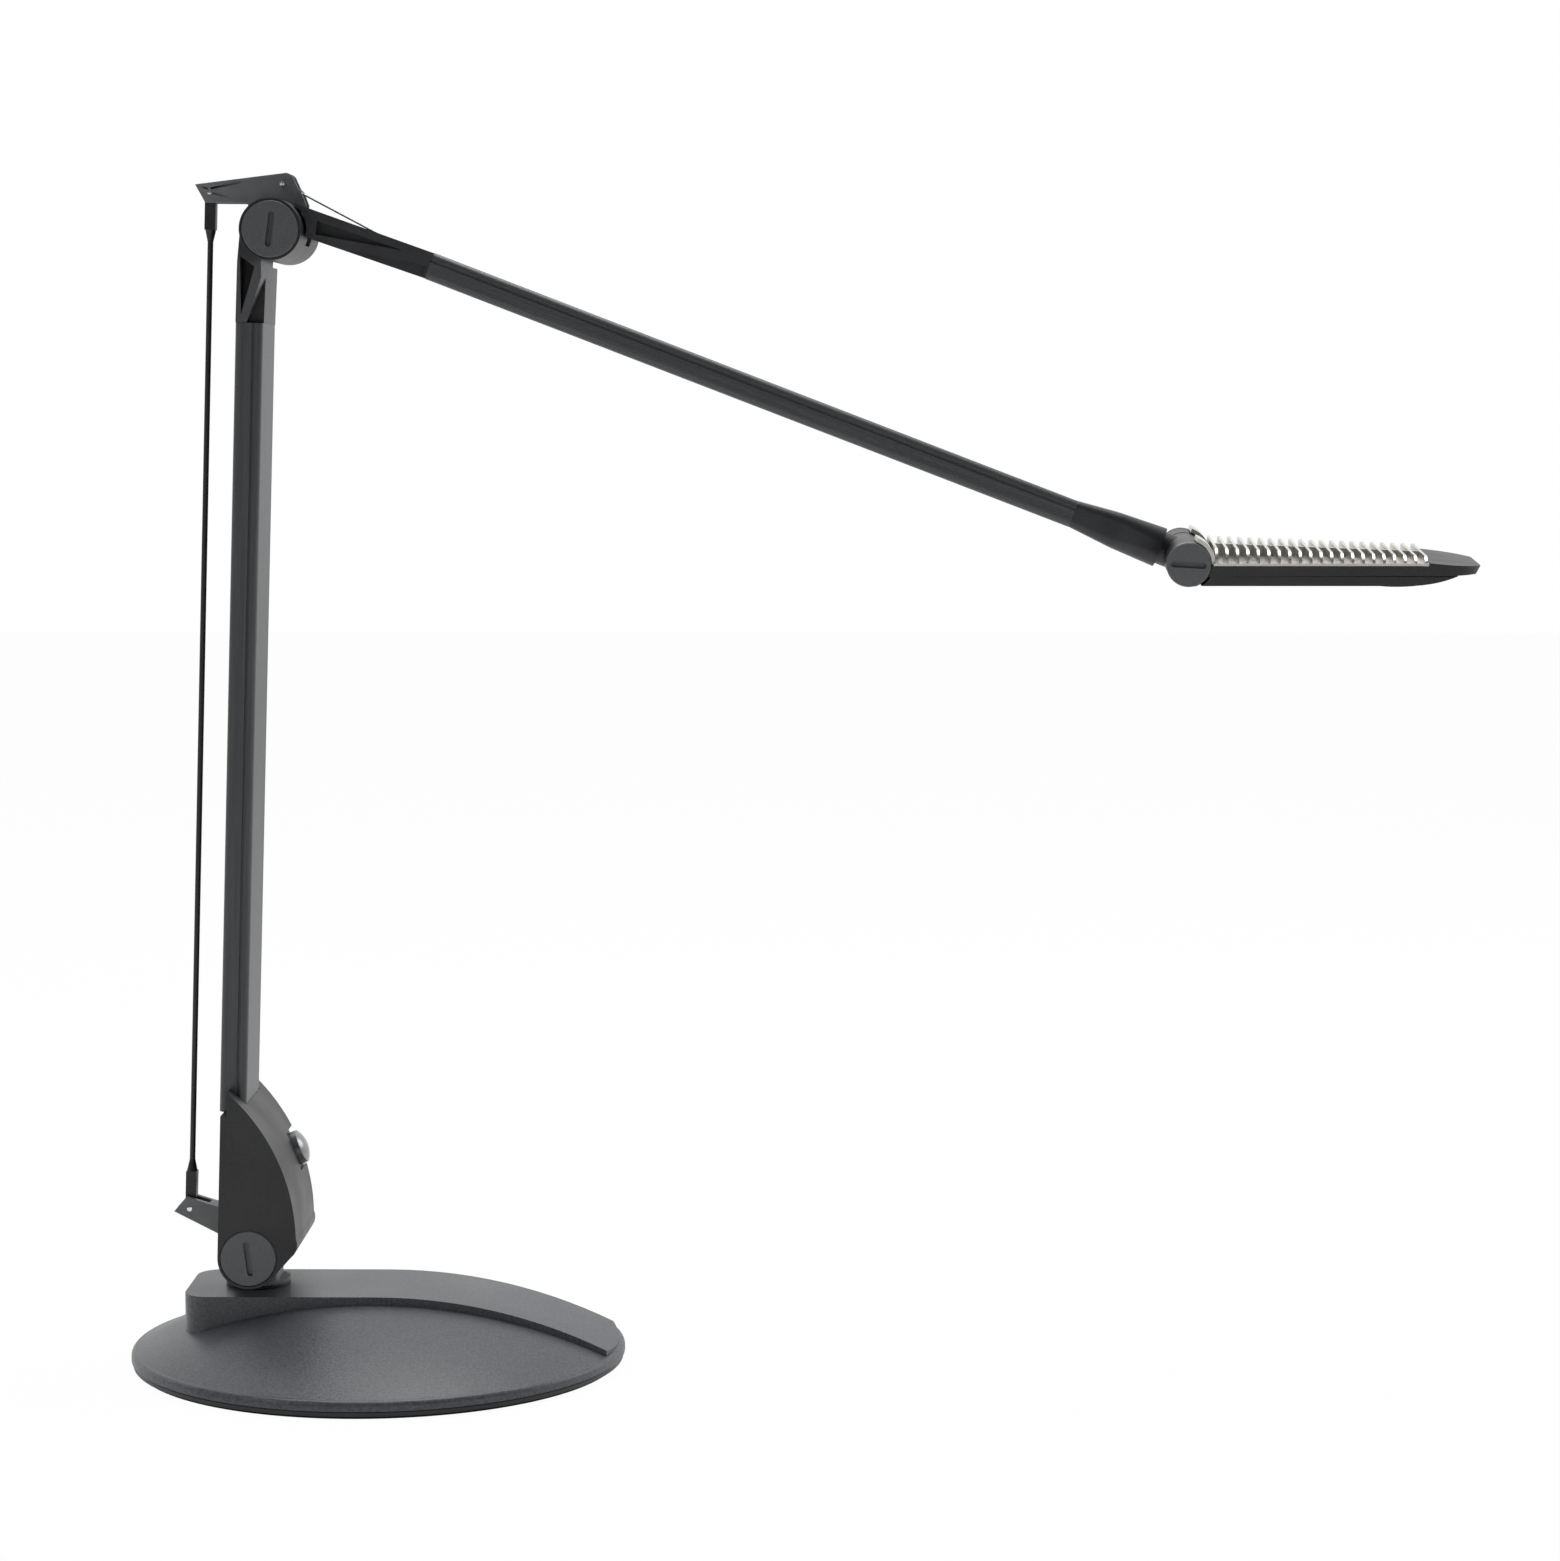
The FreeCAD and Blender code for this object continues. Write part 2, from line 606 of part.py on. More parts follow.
def casing_near():
    seat = CASING_HALF_WIDTH - KNOB_SEAT
    inside = CASING_HALF_WIDTH - CASING_WALL
    shell = casing_half(-CASING_HALF_WIDTH, CASING_SPLIT, -inside, CASING_SPLIT + 1)
    outer = side_prism(casing_outline(), -CASING_HALF_WIDTH, CASING_SPLIT)
    ring = pin_y(CASING_ROUND - 0.6, -inside, 1 - seat)
    posts = [pin_y(3.0, -inside, CASING_SPLIT, x, z).common(outer) for x, z in casing_screw_spots()]
    shell = join([shell, ring] + posts)
    column_slot = block(-20, 0.5, -BARREL_HALF_LENGTH - SIDE, 99, -19.5, 20)
    lever_slot = block(-15, 40, -LEVER_HALF_WIDTH - 2 * SIDE, LEVER_HALF_WIDTH + 2 * SIDE, 8, 30)
    pilots = [pin_y(1.25 + RUN, -6, 99, x, z) for x, z in casing_screw_spots()]
    tools = [pin_y(KNOB_RADIUS + KNOB_GAP, -99, -seat), pin_y(KNOB_RADIUS - 1.1, -99, 0),
             column_slot, lever_slot]
    return on_lower_arm(cut(shell, tools + pilots))


def on_button(shape):
    """Stands a piece drawn along +X on the housing's front, at the button."""
    moved = placed(shape, vec(BUTTON_UP_ARM, BUTTON_Y, -BUTTON_FRONT), BUTTON_FALL)
    return moved


def jack_spot():
    return 22.0, 0.5


def casing_far():
    seat = CASING_HALF_WIDTH - KNOB_SEAT
    inside = CASING_HALF_WIDTH - CASING_WALL
    shell = casing_half(CASING_SPLIT, CASING_HALF_WIDTH, CASING_SPLIT - 1, inside)
    outer = side_prism(casing_outline(), CASING_SPLIT, CASING_HALF_WIDTH)
    ring = pin_y(CASING_ROUND - 0.6, seat - 1, inside)
    pan = on_button(block(-RECESS_DEPTH - CASING_WALL, 1, -10.5, 10.5, -12, 12)).common(outer)
    jack_x, jack_z = jack_spot()
    posts = [pin_y(1.8, inside - 9.2, inside, jack_x + sx * 5.6, jack_z + sx * 5.6) for sx in (-1, 1)]
    shell = join([shell, ring, pan] + posts)
    recess = on_button(block(-RECESS_DEPTH, 20, -9.0, 30, -9.6, 9.6))
    button_hole = on_button(pin_x(BUTTON_RADIUS + SIDE, -30, 20))
    heads = [pin_y(2.8, inside + 0.6, 99, x, z) for x, z in casing_screw_spots()]
    shanks = [pin_y(1.25 + FIT, 0, 99, x, z) for x, z in casing_screw_spots()]
    tools = [pin_y(KNOB_RADIUS + KNOB_GAP, seat, 99), pin_y(KNOB_RADIUS - 1.1, 0, 99), recess,
             button_hole.common(on_button(block(-9, 20, -20, 20, -20, 20))),
             pin_y(4.0 + FIT, 0, 99, jack_x, jack_z)]
    return on_lower_arm(cut(shell, tools + heads + shanks))


def casing_screws():
    inside = CASING_HALF_WIDTH - CASING_WALL
    screws = []
    for x, z in casing_screw_spots():
        head = pin_y(2.6, inside + 0.6, CASING_HALF_WIDTH - 0.2, x, z)
        shank = pin_y(1.25, -4, inside + 0.6, x, z)
        socket = pin_y(0.9, CASING_HALF_WIDTH - 1.2, 99, x, z)
        screws.append(join([head, shank]).cut(socket))
    return on_lower_arm(Part.makeCompound(screws))


def hinge_bolt():
    """Bolt through fork and bracket; its long head carries the far balance spring."""
    cheek = BARREL_HALF_LENGTH + SIDE + 5.0
    shank = pin_y(BOLT_RADIUS, 0.3 - CASING_HALF_WIDTH + KNOB_SEAT, cheek + 0.2)
    head = pin_y(BOLT_HEAD_RADIUS + 1.6, cheek, CASING_HALF_WIDTH - KNOB_SEAT - SIDE)
    return on_lower_arm(join([shank, head]))


def hinge_knob():
    cheek = BARREL_HALF_LENGTH + SIDE + 5.0
    knob = tension_knob(KNOB_RADIUS, BOLT_RADIUS, -CASING_HALF_WIDTH - 0.3,
                        SIDE - CASING_HALF_WIDTH + KNOB_SEAT - 2 * SIDE, BOLT_HEAD_RADIUS + 1.6,
                        -cheek - SIDE, -98 - LOWER_FALL)
    return on_lower_arm(knob)


def hinge_cap():
    cap = mirrored_y(knob_disc(KNOB_RADIUS + KNOB_GAP - FIT, -CASING_HALF_WIDTH - 0.3,
                               KNOB_SEAT - CASING_HALF_WIDTH))
    return on_lower_arm(cap)


def balance_springs():
    """Wound torsion springs round the hinge, one each side of the fork, drawn as their sleeves."""
    cheek = BARREL_HALF_LENGTH + SIDE + 5.0
    inner = BOLT_HEAD_RADIUS + 1.6 + SIDE
    spring = ring_y(inner + 2.2, inner, cheek + 0.4, CASING_HALF_WIDTH - KNOB_SEAT - 1.4)
    return on_lower_arm(Part.makeCompound([spring, mirrored_y(spring)]))


def driver_board():
    """Lamp driver on its board, with a coil, a capacitor and a control chip."""
    jack_x, jack_z = jack_spot()
    face = CASING_HALF_WIDTH - CASING_WALL - 9.2
    board = block(jack_x - 8, jack_x + 8, face - 1.6, face, jack_z - 8, jack_z + 8)
    coil = block(jack_x + 1, jack_x + 7, face - 3.2, face - 1.6, jack_z - 6, jack_z)
    chip = block(jack_x - 6, jack_x - 2, face - 2.8, face - 1.6, jack_z + 1, jack_z + 6)
    return on_lower_arm(join([board, coil, chip]))


def power_inlet():
    """Round low-voltage socket in the housing's far side."""
    jack_x, jack_z = jack_spot()
    inside = CASING_HALF_WIDTH - CASING_WALL
    face = inside - 9.2
    body = block(jack_x - 4.5, jack_x + 4.5, face, inside - FIT, jack_z - 3.6, jack_z + 3.6)
    nose = pin_y(4.0, inside - 1, CASING_HALF_WIDTH, jack_x, jack_z)
    hole = pin_y(2.75, face + 2, 99, jack_x, jack_z)
    contact = pin_y(0.95, face + 1, CASING_HALF_WIDTH - 1.5, jack_x, jack_z)
    return on_lower_arm(join([join([body, nose]).cut(hole), contact]))


def switch_body():
    """Push switch behind the button."""
    back = -RECESS_DEPTH - CASING_WALL
    body = block(back - 6, back, -4.3, 4.5, -6, 6)
    well = pin_x(2.0 + SIDE, back - 3, back + 1)
    return on_lower_arm(on_button(body.cut(well)))


def power_button():
    """Domed push button with a stem into its switch."""
    back = -RECESS_DEPTH - CASING_WALL
    crown = 5.2
    skirt = 2.6
    ball = (BUTTON_RADIUS ** 2 + (crown - skirt) ** 2) / (2 * (crown - skirt))
    cap = pin_x(BUTTON_RADIUS, back + 0.4 + BUTTON_TRAVEL, crown)
    cap = cap.common(Part.makeSphere(ball, vec(crown - ball, 0, 0)))
    stem = pin_x(2.0, back - 1.4, 0)
    return on_lower_arm(on_button(join([cap, stem])))


# ---------------------------------------------------------------- elbow
def elbow_counterbore():
    """Tools for the knob's seat, the boss or bolt head behind it, at the near end."""
    half = ELBOW_HALF_LENGTH
    return [pin_y(KNOB_RADIUS + KNOB_GAP, -half - 9, KNOB_SEAT - half),
            pin_y(BOLT_HEAD_RADIUS + SIDE, -half, KNOB_SEAT - half + 4.4)]


def elbow_lower():
    """Top casting of the lower arm: knuckle with a slot for the crank, ribbed web, tube plug."""
    far = ELBOW_SPLIT - SIDE / 2
    half = ELBOW_HALF_LENGTH
    length = LOWER_BRACKET_LENGTH
    low, high = TUBE_IN + 0.2, TUBE_OUT - 0.2
    web = side_prism([(-length, low), (-length, high), (-3.5, ELBOW_RADIUS - 0.4), (6, 12.0),
                      (6, -8.0), (-13.4, 3.6)], -half, TUBE_HALF_DEPTH)
    edge = TUBE_HALF_DEPTH - 0.2
    clear = ELBOW_RADIUS + SWEEP
    width = plan_prism([(-length, -edge), (-clear, -half), (clear, -half), (clear, far), (-clear - 1, far),
                        (-clear - 1, edge), (-length, edge)], -40, 40)
    knuckle = pin_y(ELBOW_RADIUS, -half, far)
    body = join([web.common(width), knuckle, spigot(-length - SPIGOT_LENGTH, -length)])
    wide = CRANK_HALF_WIDTH + 2 * SIDE
    crank_way = side_prism([(0, 0), (-30, 52), (60, 52), (60, -54), (-26.3, -53.9)], -wide, far + 1)
    floor = -TUBE_HALF_DEPTH + 3.2
    pocket = side_prism([(-12.6, 13.0), (-17.0, 6.6), (-length + 3.5, 13.6)], -half - 1, floor)
    corner = side_prism([(-19.5, 3.0), (-length - 0.1, 11.2), (-length - 0.1, 3.0)], -half - 1, floor + 3)
    tools = [pin_y(clear, far, half + 9), pin_y(CRANK_HUB_RADIUS + 2 * SIDE, -wide, far + 1), crank_way,
             pocket, corner, pin_y(BOLT_RADIUS + FIT, -half, half)]
    return on_lower_elbow(cut(body, tools + elbow_counterbore()))


def elbow_bolt():
    far = ELBOW_HALF_LENGTH - KNOB_SEAT
    shank = pin_y(BOLT_RADIUS, SIDE - far, far - 4)
    head = pin_y(BOLT_HEAD_RADIUS, far - 4, far - SIDE)
    return on_lower_elbow(join([shank, head]))


def elbow_knob():
    far = ELBOW_HALF_LENGTH - KNOB_SEAT
    knob = tension_knob(KNOB_RADIUS, BOLT_RADIUS, -ELBOW_HALF_LENGTH - 0.3, -far - SIDE, BOLT_HEAD_RADIUS,
                        4 - far, -82.4 - LOWER_FALL)
    return on_lower_elbow(knob)


def bell_crank():
    """Level-holding crank: two sheet cheeks joined by a web, on a hub that turns on the elbow bolt."""
    half = CRANK_HALF_WIDTH
    back, up = -LEVER_PIN_BACK, LEVER_PIN_UP
    outline = [(back - 6.6, up + 3.4), (back - 4.4, up - 0.5), (back - 2.0, up - 4.9), (-14.0, 12.8),
               (-8.0, 2.0), (8.2, 0.0), (13.1, 11.9), (10.8, 18.0), (9.4, 19.4), (7.7, 23.2),
               (6.2, 25.6, 2.7, 26.3)]
    blank = side_prism(outline, -half, half)
    gap = half - CRANK_SHEET
    inside = block(-60, 60, -gap, gap, 0, 60)
    web = blank.common(block(back + 12, WIRE_PIN_X - 6, -half, half, up - 4.9, 60))
    under_web = block(back, 60, -gap, gap, 0, up + 2.6)
    hub = pin_y(CRANK_HUB_RADIUS, -half, half)
    body = join([blank.cut(inside), web.cut(under_web), hub])
    return body_at_elbow(cut(body, [pin_y(BOLT_RADIUS + RUN, -40, 40),
                                    pin_y(ROD_PIN_RADIUS + RUN, -40, 40, back, up),
                                    pin_y(ROD_PIN_RADIUS + RUN, -40, 40, WIRE_PIN_X, WIRE_PIN_Z)]))


def body_at_elbow(shape):
    shape.translate(ELBOW)
    return shape


def crank_pins():
    """Rivets that hold the rod's upper eye and the balance wire's eye."""
    rod_rivet = pin_with_heads(CRANK_HALF_WIDTH)
    wire_rivet = rod_rivet.copy()
    rod_rivet.translate(vec(-LEVER_PIN_BACK, 0, LEVER_PIN_UP))
    wire_rivet.translate(vec(WIRE_PIN_X, 0, WIRE_PIN_Z))
    return body_at_elbow(Part.makeCompound([rod_rivet, wire_rivet]))


def balance_wire():
    """Steel wire from the crank's rivet to the spring in the upper arm, with an eye at each end."""
    start = ELBOW + vec(WIRE_PIN_X, 0, WIRE_PIN_Z)
    finish = ELBOW + ARM_DIRECTION * WIRE_HOOK_ALONG + ARM_OUTWARD * TUBE_OFFSET
    run = finish - start
    length = run.Length
    eye = ring_y(2.3, ROD_PIN_RADIUS + RUN, -0.7, 0.7)
    last = eye.copy()
    last.translate(vec(length, 0, 0))
    wire = join([eye, last, pin_x(WIRE_RADIUS, 2.0, length - 2.0)])
    return placed(wire, start, math.degrees(math.atan2(-run.z, run.x)))


def elbow_upper():
    """Casting that joins the far half of the elbow to the upper tube, slotted for crank and wire."""
    near = ELBOW_SPLIT + SIDE / 2
    half = ELBOW_HALF_LENGTH
    length = UPPER_BRACKET_LENGTH
    low, high = TUBE_IN + 0.2, TUBE_OUT - 0.2
    clear = ELBOW_RADIUS + SWEEP
    web = side_prism([(3, 14.6), (length, high), (length, low), (clear + 6, 2.3), (6, 2.3)], -40, 40)
    edge = TUBE_HALF_DEPTH - 0.2
    width = plan_prism([(length, -edge), (clear, -edge - 2), (0, -edge - 2), (0, half), (clear - 3, half),
                        (length * 0.63, edge), (length, edge)], -40, 40)
    knuckle = pin_y(ELBOW_RADIUS, near, half)
    body = join([web.common(width).cut(pin_y(clear, -40, near)), knuckle,
                 spigot(length, length + SPIGOT_LENGTH)])
    wide = CRANK_HALF_WIDTH + 2 * SIDE
    crank_way = pin_y(28.0, -wide, near - 0.01)
    crank_exit = block(0, 34, -wide, near - 0.01, -9, 40)
    channel = block(20, length + 1, -5.4, 5.4, 6.2, 14.2)
    prongs = block(length - 9, length + 99, -5.4, 5.4, -9, 40)
    wire_slot = block(30, length - 9, -2.2, 2.2, 10, 40)
    floor = -TUBE_HALF_DEPTH + 3.4
    wedge = side_prism([(clear + 2.2, 10.9), (length - 13, 12.4), (clear + 3.6, 4.9)], -half, floor)
    under = side_prism([(clear + 10, 2.0), (length - 1.4, 9.6), (length - 1.4, 2.0)], -half, floor - 1.6)
    tools = [crank_way, crank_exit, channel, prongs, wire_slot, wedge, under,
             pin_y(BOLT_RADIUS + RUN, -40, 40)]
    mirrored = [mirrored_y(tool) for tool in elbow_counterbore()]
    return on_upper_arm(cut(body, tools + mirrored))


def elbow_cap():
    cap = mirrored_y(knob_disc(KNOB_RADIUS + KNOB_GAP - FIT, -ELBOW_HALF_LENGTH - 0.3,
                               KNOB_SEAT - ELBOW_HALF_LENGTH))
    return on_upper_arm(cap)


# ---------------------------------------------------------------- upper arm
def cuff_start():
    return UPPER_ARM_LENGTH - CUFF_GAP - CUFF_LENGTH


def upper_tube():
    tube = arm_tube(UPPER_BRACKET_LENGTH, cuff_start(), TUBE_OUT - TUBE_GROOVE_FROM_EDGE)
    reach = TUBE_HALF_DEPTH - ANCHOR_COVER
    return on_upper_arm(tube.cut(pin_y(1.5 + RUN, -reach, reach, SPRING_END_ALONG, TUBE_OFFSET)))


def spring_anchor():
    reach = TUBE_HALF_DEPTH - ANCHOR_COVER
    return on_upper_arm(pin_y(1.5, -reach, reach, SPRING_END_ALONG, TUBE_OFFSET))


def arm_spring():
    """Tension spring in the upper tube, drawn as its sleeve, with a hook fork and an eye."""
    start, end = WIRE_HOOK_ALONG, SPRING_END_ALONG
    sleeve = pin_x(SPRING_RADIUS, start + 9, end - 8).cut(pin_x(SPRING_RADIUS - 1.3, start + 11, end - 10))
    prong = block(start - 2.4, start + 10, 1.1, 2.6, -2.4, 2.4)
    hook = pin_y(1.1, -2.6, 2.6, start)
    strap = block(end - 10, end, -1.6, 1.6, -2.4, 2.4)
    eye = pin_y(3.0, -1.6, 1.6, end)
    spring = join([sleeve, prong, mirrored_y(prong), hook, strap, eye]).cut(pin_y(1.5 + RUN, -9, 9, end))
    spring.translate(vec(0, 0, TUBE_OFFSET))
    return on_upper_arm(spring)


def cuff_section(x, half_depth, half_height, corner):
    flat = half_depth - corner
    bend = corner * (1 - math.sqrt(0.5))
    up, down = TUBE_OFFSET + half_height, TUBE_OFFSET - half_height

    def at(y, z):
        return vec(x, y, z)

    return closed_wire(at, [(-flat, down), (flat, down),
                            (half_depth - bend, down + bend, half_depth, down + corner),
                            (half_depth, up - corner),
                            (half_depth - bend, up - bend, flat, up), (-flat, up),
                            (bend - half_depth, up - bend, -half_depth, up - corner),
                            (-half_depth, down + corner), (bend - half_depth, down + bend, -flat, down)])


def arm_cuff():
    """End piece of the upper arm, from the tube's flat oval to the round socket of the neck."""
    start = cuff_start()
    end = start + CUFF_LENGTH
    depth = TUBE_HALF_DEPTH - 0.2
    height = TUBE_HALF_THICKNESS - 0.1
    sections = [cuff_section(start, depth, height, TUBE_CORNER),
                cuff_section(start + CUFF_LENGTH * 0.5, (depth + CUFF_END_HALF_DEPTH) / 2 + 1.5,
                             (height + CUFF_END_HALF_HEIGHT) / 2 + 0.6, TUBE_CORNER + 1.5),
                cuff_section(end, CUFF_END_HALF_DEPTH, CUFF_END_HALF_HEIGHT, CUFF_END_HALF_HEIGHT - 1.6)]
    body = join([Part.makeLoft(sections, True, True), spigot(start - SPIGOT_LENGTH, start)])
    bore = pin_x(NECK_PIN_RADIUS + RUN, end - 24, end + 9, 0, TUBE_OFFSET)
    grub = pin_z(1.5 + FIT, -20, TUBE_OFFSET, grub_along())
    return on_upper_arm(cut(body, [bore, grub]))


def grub_along():
    return UPPER_ARM_LENGTH - CUFF_GAP - 15.0


def neck_screw():
    """Grub screw under the cuff that holds the neck's pin by its groove."""
    low = TUBE_OFFSET - CUFF_END_HALF_HEIGHT + 1.6
    return on_upper_arm(pin_z(1.5, low, TUBE_OFFSET - NECK_PIN_RADIUS + 0.6, grub_along()))


def neck():
    """Pin that turns in the cuff, collar, and the cross barrel that carries the head."""
    barrel = pin_y(NECK_BARREL_RADIUS, -NECK_BARREL_HALF_LENGTH, NECK_BARREL_HALF_LENGTH)
    collar = pin_x(NECK_COLLAR_RADIUS, SIDE - CUFF_GAP, 0)
    pin = pin_x(NECK_PIN_RADIUS, -CUFF_GAP - 23, 0)
    middle = grub_along() - UPPER_ARM_LENGTH
    groove = pin_x(20, middle - 1.9, middle + 1.9).cut(pin_x(NECK_PIN_RADIUS - 0.9, -99, 99))
    body = join([pin.cut(groove), collar, barrel])
    return on_neck(body.cut(pin_y(HEAD_BOLT_RADIUS + RUN, -40, 40)))


# ---------------------------------------------------------------- head
def head_half_width(x, inset=0.0):
    return HEAD_HALF_WIDTH - HEAD_TAPER * x / HEAD_NOSE_START - inset


def head_plan(x0, inset, z0, z1):
    """Plan outline of the head: slightly tapered sides and a blunt rounded nose."""
    tip = HEAD_LENGTH - inset
    start = head_half_width(x0, inset)
    shoulder = head_half_width(HEAD_NOSE_START, inset)
    flat = shoulder * 0.55
    bow = (HEAD_NOSE_START + (tip - HEAD_NOSE_START) * 0.76, shoulder * 0.87)
    return plan_prism([(x0, -start), (HEAD_NOSE_START, -shoulder),
                       (bow[0], -bow[1], tip, -flat), (tip, flat),
                       (bow[0], bow[1], HEAD_NOSE_START, shoulder), (x0, start)], z0, z1)


def head_frame():
    """Moulded frame: tray under the heat sink, wedge nose and two ears on the head bolt."""
    low, top = TRAY_BOTTOM, TRAY_TOP
    tip = HEAD_LENGTH
    lengthwise = side_prism([(0, low), (tip - 2.7, low + 0.4), (tip, -1.6), (SINK_END + FIT, 0.9),
                             (SINK_END + FIT, top), (0, top)], -60, 60)
    tray = lengthwise.common(head_plan(0, 0, -20, 20))
    inner = NECK_BARREL_HALF_LENGTH + 0.4
    ear = pin_y(EAR_RADIUS, inner, EAR_END)
    lug = block(-2, 6, inner, EAR_END - 4, low - 5.2, low + 1)
    body = join([tray, ear, mirrored_y(ear), lug.common(pin_y(EAR_RADIUS + 1.2, 0, 40)),
                 mirrored_y(lug).common(pin_y(EAR_RADIUS + 1.2, -40, 0))])
    window = block(DIFFUSER_START, SINK_END - 4, -DIFFUSER_HALF_WIDTH, DIFFUSER_HALF_WIDTH, low - 9, 9)
    neck_way = pin_y(NECK_BARREL_RADIUS + 0.7, -inner, inner)
    near_hole = pin_y(5.0 + SIDE, -40, 4.4 - EAR_END)
    far_hole = pin_y(5.5 + SIDE, EAR_END - 4.4, 40)
    screws = [pin_z(1.25 + RUN, low - 9, TRAY_TOP - 0.6, x, y) for x, y in head_screw_spots()]
    cap_seat = pin_y(HEAD_KNOB_RADIUS + SIDE, EAR_END, 40)
    return on_head(cut(body, [window, neck_way, near_hole, far_hole, cap_seat, mirrored_y(cap_seat),
                              pin_y(HEAD_BOLT_RADIUS + FIT, -40, 40)] + screws))


def head_screw_spots():
    return [(x, side_sign * (head_half_width(x) - 3.6)) for x in (13.2, SINK_END - 4)
            for side_sign in (-1, 1)]


def heat_sink():
    """Extruded aluminium heat sink: base, transverse fins that shrink to the nose, rounded hood."""
    floor = TRAY_TOP
    base = block(SINK_START, SINK_END, -60, 60, floor, floor + SINK_BASE)
    base = base.common(head_plan(0, 0.6, -20, 20))
    fins = []
    for index in range(FIN_COUNT):
        x = SINK_START + 0.8 + index * FIN_PITCH
        share = index / (FIN_COUNT - 1)
        height = FIN_HEIGHT + (FIN_HEIGHT_LAST - FIN_HEIGHT) * share
        half = head_half_width(x + FIN_THICKNESS, 1.4)
        foot = floor + SINK_BASE / 2
        crest = floor + SINK_BASE + height
        steps = [(-half, foot), (half, foot), (half, floor + SINK_BASE + height * 0.25),
                 (half - 2.0, crest - height * 0.25, half - 7.5, crest), (7.5 - half, crest),
                 (2.0 - half, crest - height * 0.25, -half, floor + SINK_BASE + height * 0.25)]
        fins.append(section_prism(steps, x, x + FIN_THICKNESS))
    inner = EAR_RADIUS + 0.5
    hood = ring_y(inner + 1.9, inner, NECK_BARREL_HALF_LENGTH + 0.8, EAR_END - 0.4)
    far = 3 * inner
    hood = hood.common(side_prism([(0, 0), (far, floor + 0.01), (far, far), (far * 0.35, far)], 0, 60))
    low_crest = floor + SINK_BASE + FIN_HEIGHT_LAST
    spine = side_prism([(SINK_START + 0.8, floor + 0.5), (SINK_END, floor + 0.5), (SINK_END, low_crest - 0.6),
                        (SINK_START + 0.8, floor + SINK_BASE + FIN_HEIGHT - 0.6)], -1.0, 1.0)
    return on_head(join([base] + fins + [spine, hood, mirrored_y(hood)]))


def led_board():
    """Metal-core board that lies against the heat sink."""
    half = DIFFUSER_HALF_WIDTH - BOARD_MARGIN
    return on_head(block(DIFFUSER_START + BOARD_MARGIN, SINK_END - DIFFUSER_END_GAP, -half, half,
                         TRAY_TOP - 1.6, TRAY_TOP))


def led_emitters():
    emitters = []
    for row in range(LED_ROWS):
        y = 14.0 * (2 * row - 1)
        for column in range(LED_COLUMNS):
            run = SINK_END - DIFFUSER_START - DIFFUSER_END_GAP - 16.0
            x = DIFFUSER_START + 8.0 + column * run / (LED_COLUMNS - 1)
            emitters.append(block(x - 1.5, x + 1.5, y - 1.5, y + 1.5, TRAY_TOP - 2.4, TRAY_TOP - 1.6))
    return on_head(Part.makeCompound(emitters))


def head_bezel():
    """Lower frame of the head, curved up to the nose, with the light window."""
    low, top = BEZEL_BOTTOM, TRAY_BOTTOM
    nose = HEAD_LENGTH - 11.5
    lengthwise = side_prism([(4.5, top), (4.5, low), (86, low), (nose - 10.5, low + 1.4, nose, top)], -60, 60)
    body = lengthwise.common(head_plan(0, 0.5, -20, 20))
    start, end, half = DIFFUSER_START, SINK_END - DIFFUSER_END_GAP, DIFFUSER_HALF_WIDTH
    edge = DIFFUSER_LEDGE
    window = block(start + edge, end - edge, edge - half, half - edge, -40, 40)
    ledge = block(start, end, -half, half, low + 1.2, 40)
    ears = pin_y(EAR_RADIUS + 1.3, -60, 60)
    heads = [pin_z(2.4 + FIT, -40, low + 1.6, x, y) for x, y in head_screw_spots()]
    shanks = [pin_z(1.25 + FIT, -40, 40, x, y) for x, y in head_screw_spots()]
    return on_head(cut(body, [window, ledge, ears] + heads + shanks))


def diffuser():
    low = BEZEL_BOTTOM + 1.2
    half = DIFFUSER_HALF_WIDTH - FIT
    return on_head(block(DIFFUSER_START + FIT, SINK_END - DIFFUSER_END_GAP - FIT, -half, half,
                         low, low + DIFFUSER_THICKNESS))


def head_screws():
    low = BEZEL_BOTTOM
    screws = []
    for x, y in head_screw_spots():
        head = pin_z(2.4, low + 0.2, low + 1.6, x, y)
        shank = pin_z(1.25, low + 1.6, TRAY_TOP - 1.0, x, y)
        socket = pin_z(0.8, low - 1, low + 1.0, x, y)
        screws.append(join([head, shank]).cut(socket))
    return on_head(Part.makeCompound(screws))


def head_bolt():
    shank = pin_y(HEAD_BOLT_RADIUS, 0.4 - EAR_END, EAR_END - 4.4)
    head = pin_y(5.5, EAR_END - 4.4, EAR_END - SIDE)
    return on_head(join([shank, head]))


def head_knob():
    knob = tension_knob(HEAD_KNOB_RADIUS, HEAD_BOLT_RADIUS, -HEAD_HALF_WIDTH - 0.3, -EAR_END - SIDE, 5.0,
                        4.0 - EAR_END, 3.0)
    return on_head(knob)


def head_cap():
    cap = mirrored_y(knob_disc(HEAD_KNOB_RADIUS, -HEAD_HALF_WIDTH - 0.3, -EAR_END))
    return on_head(cap)


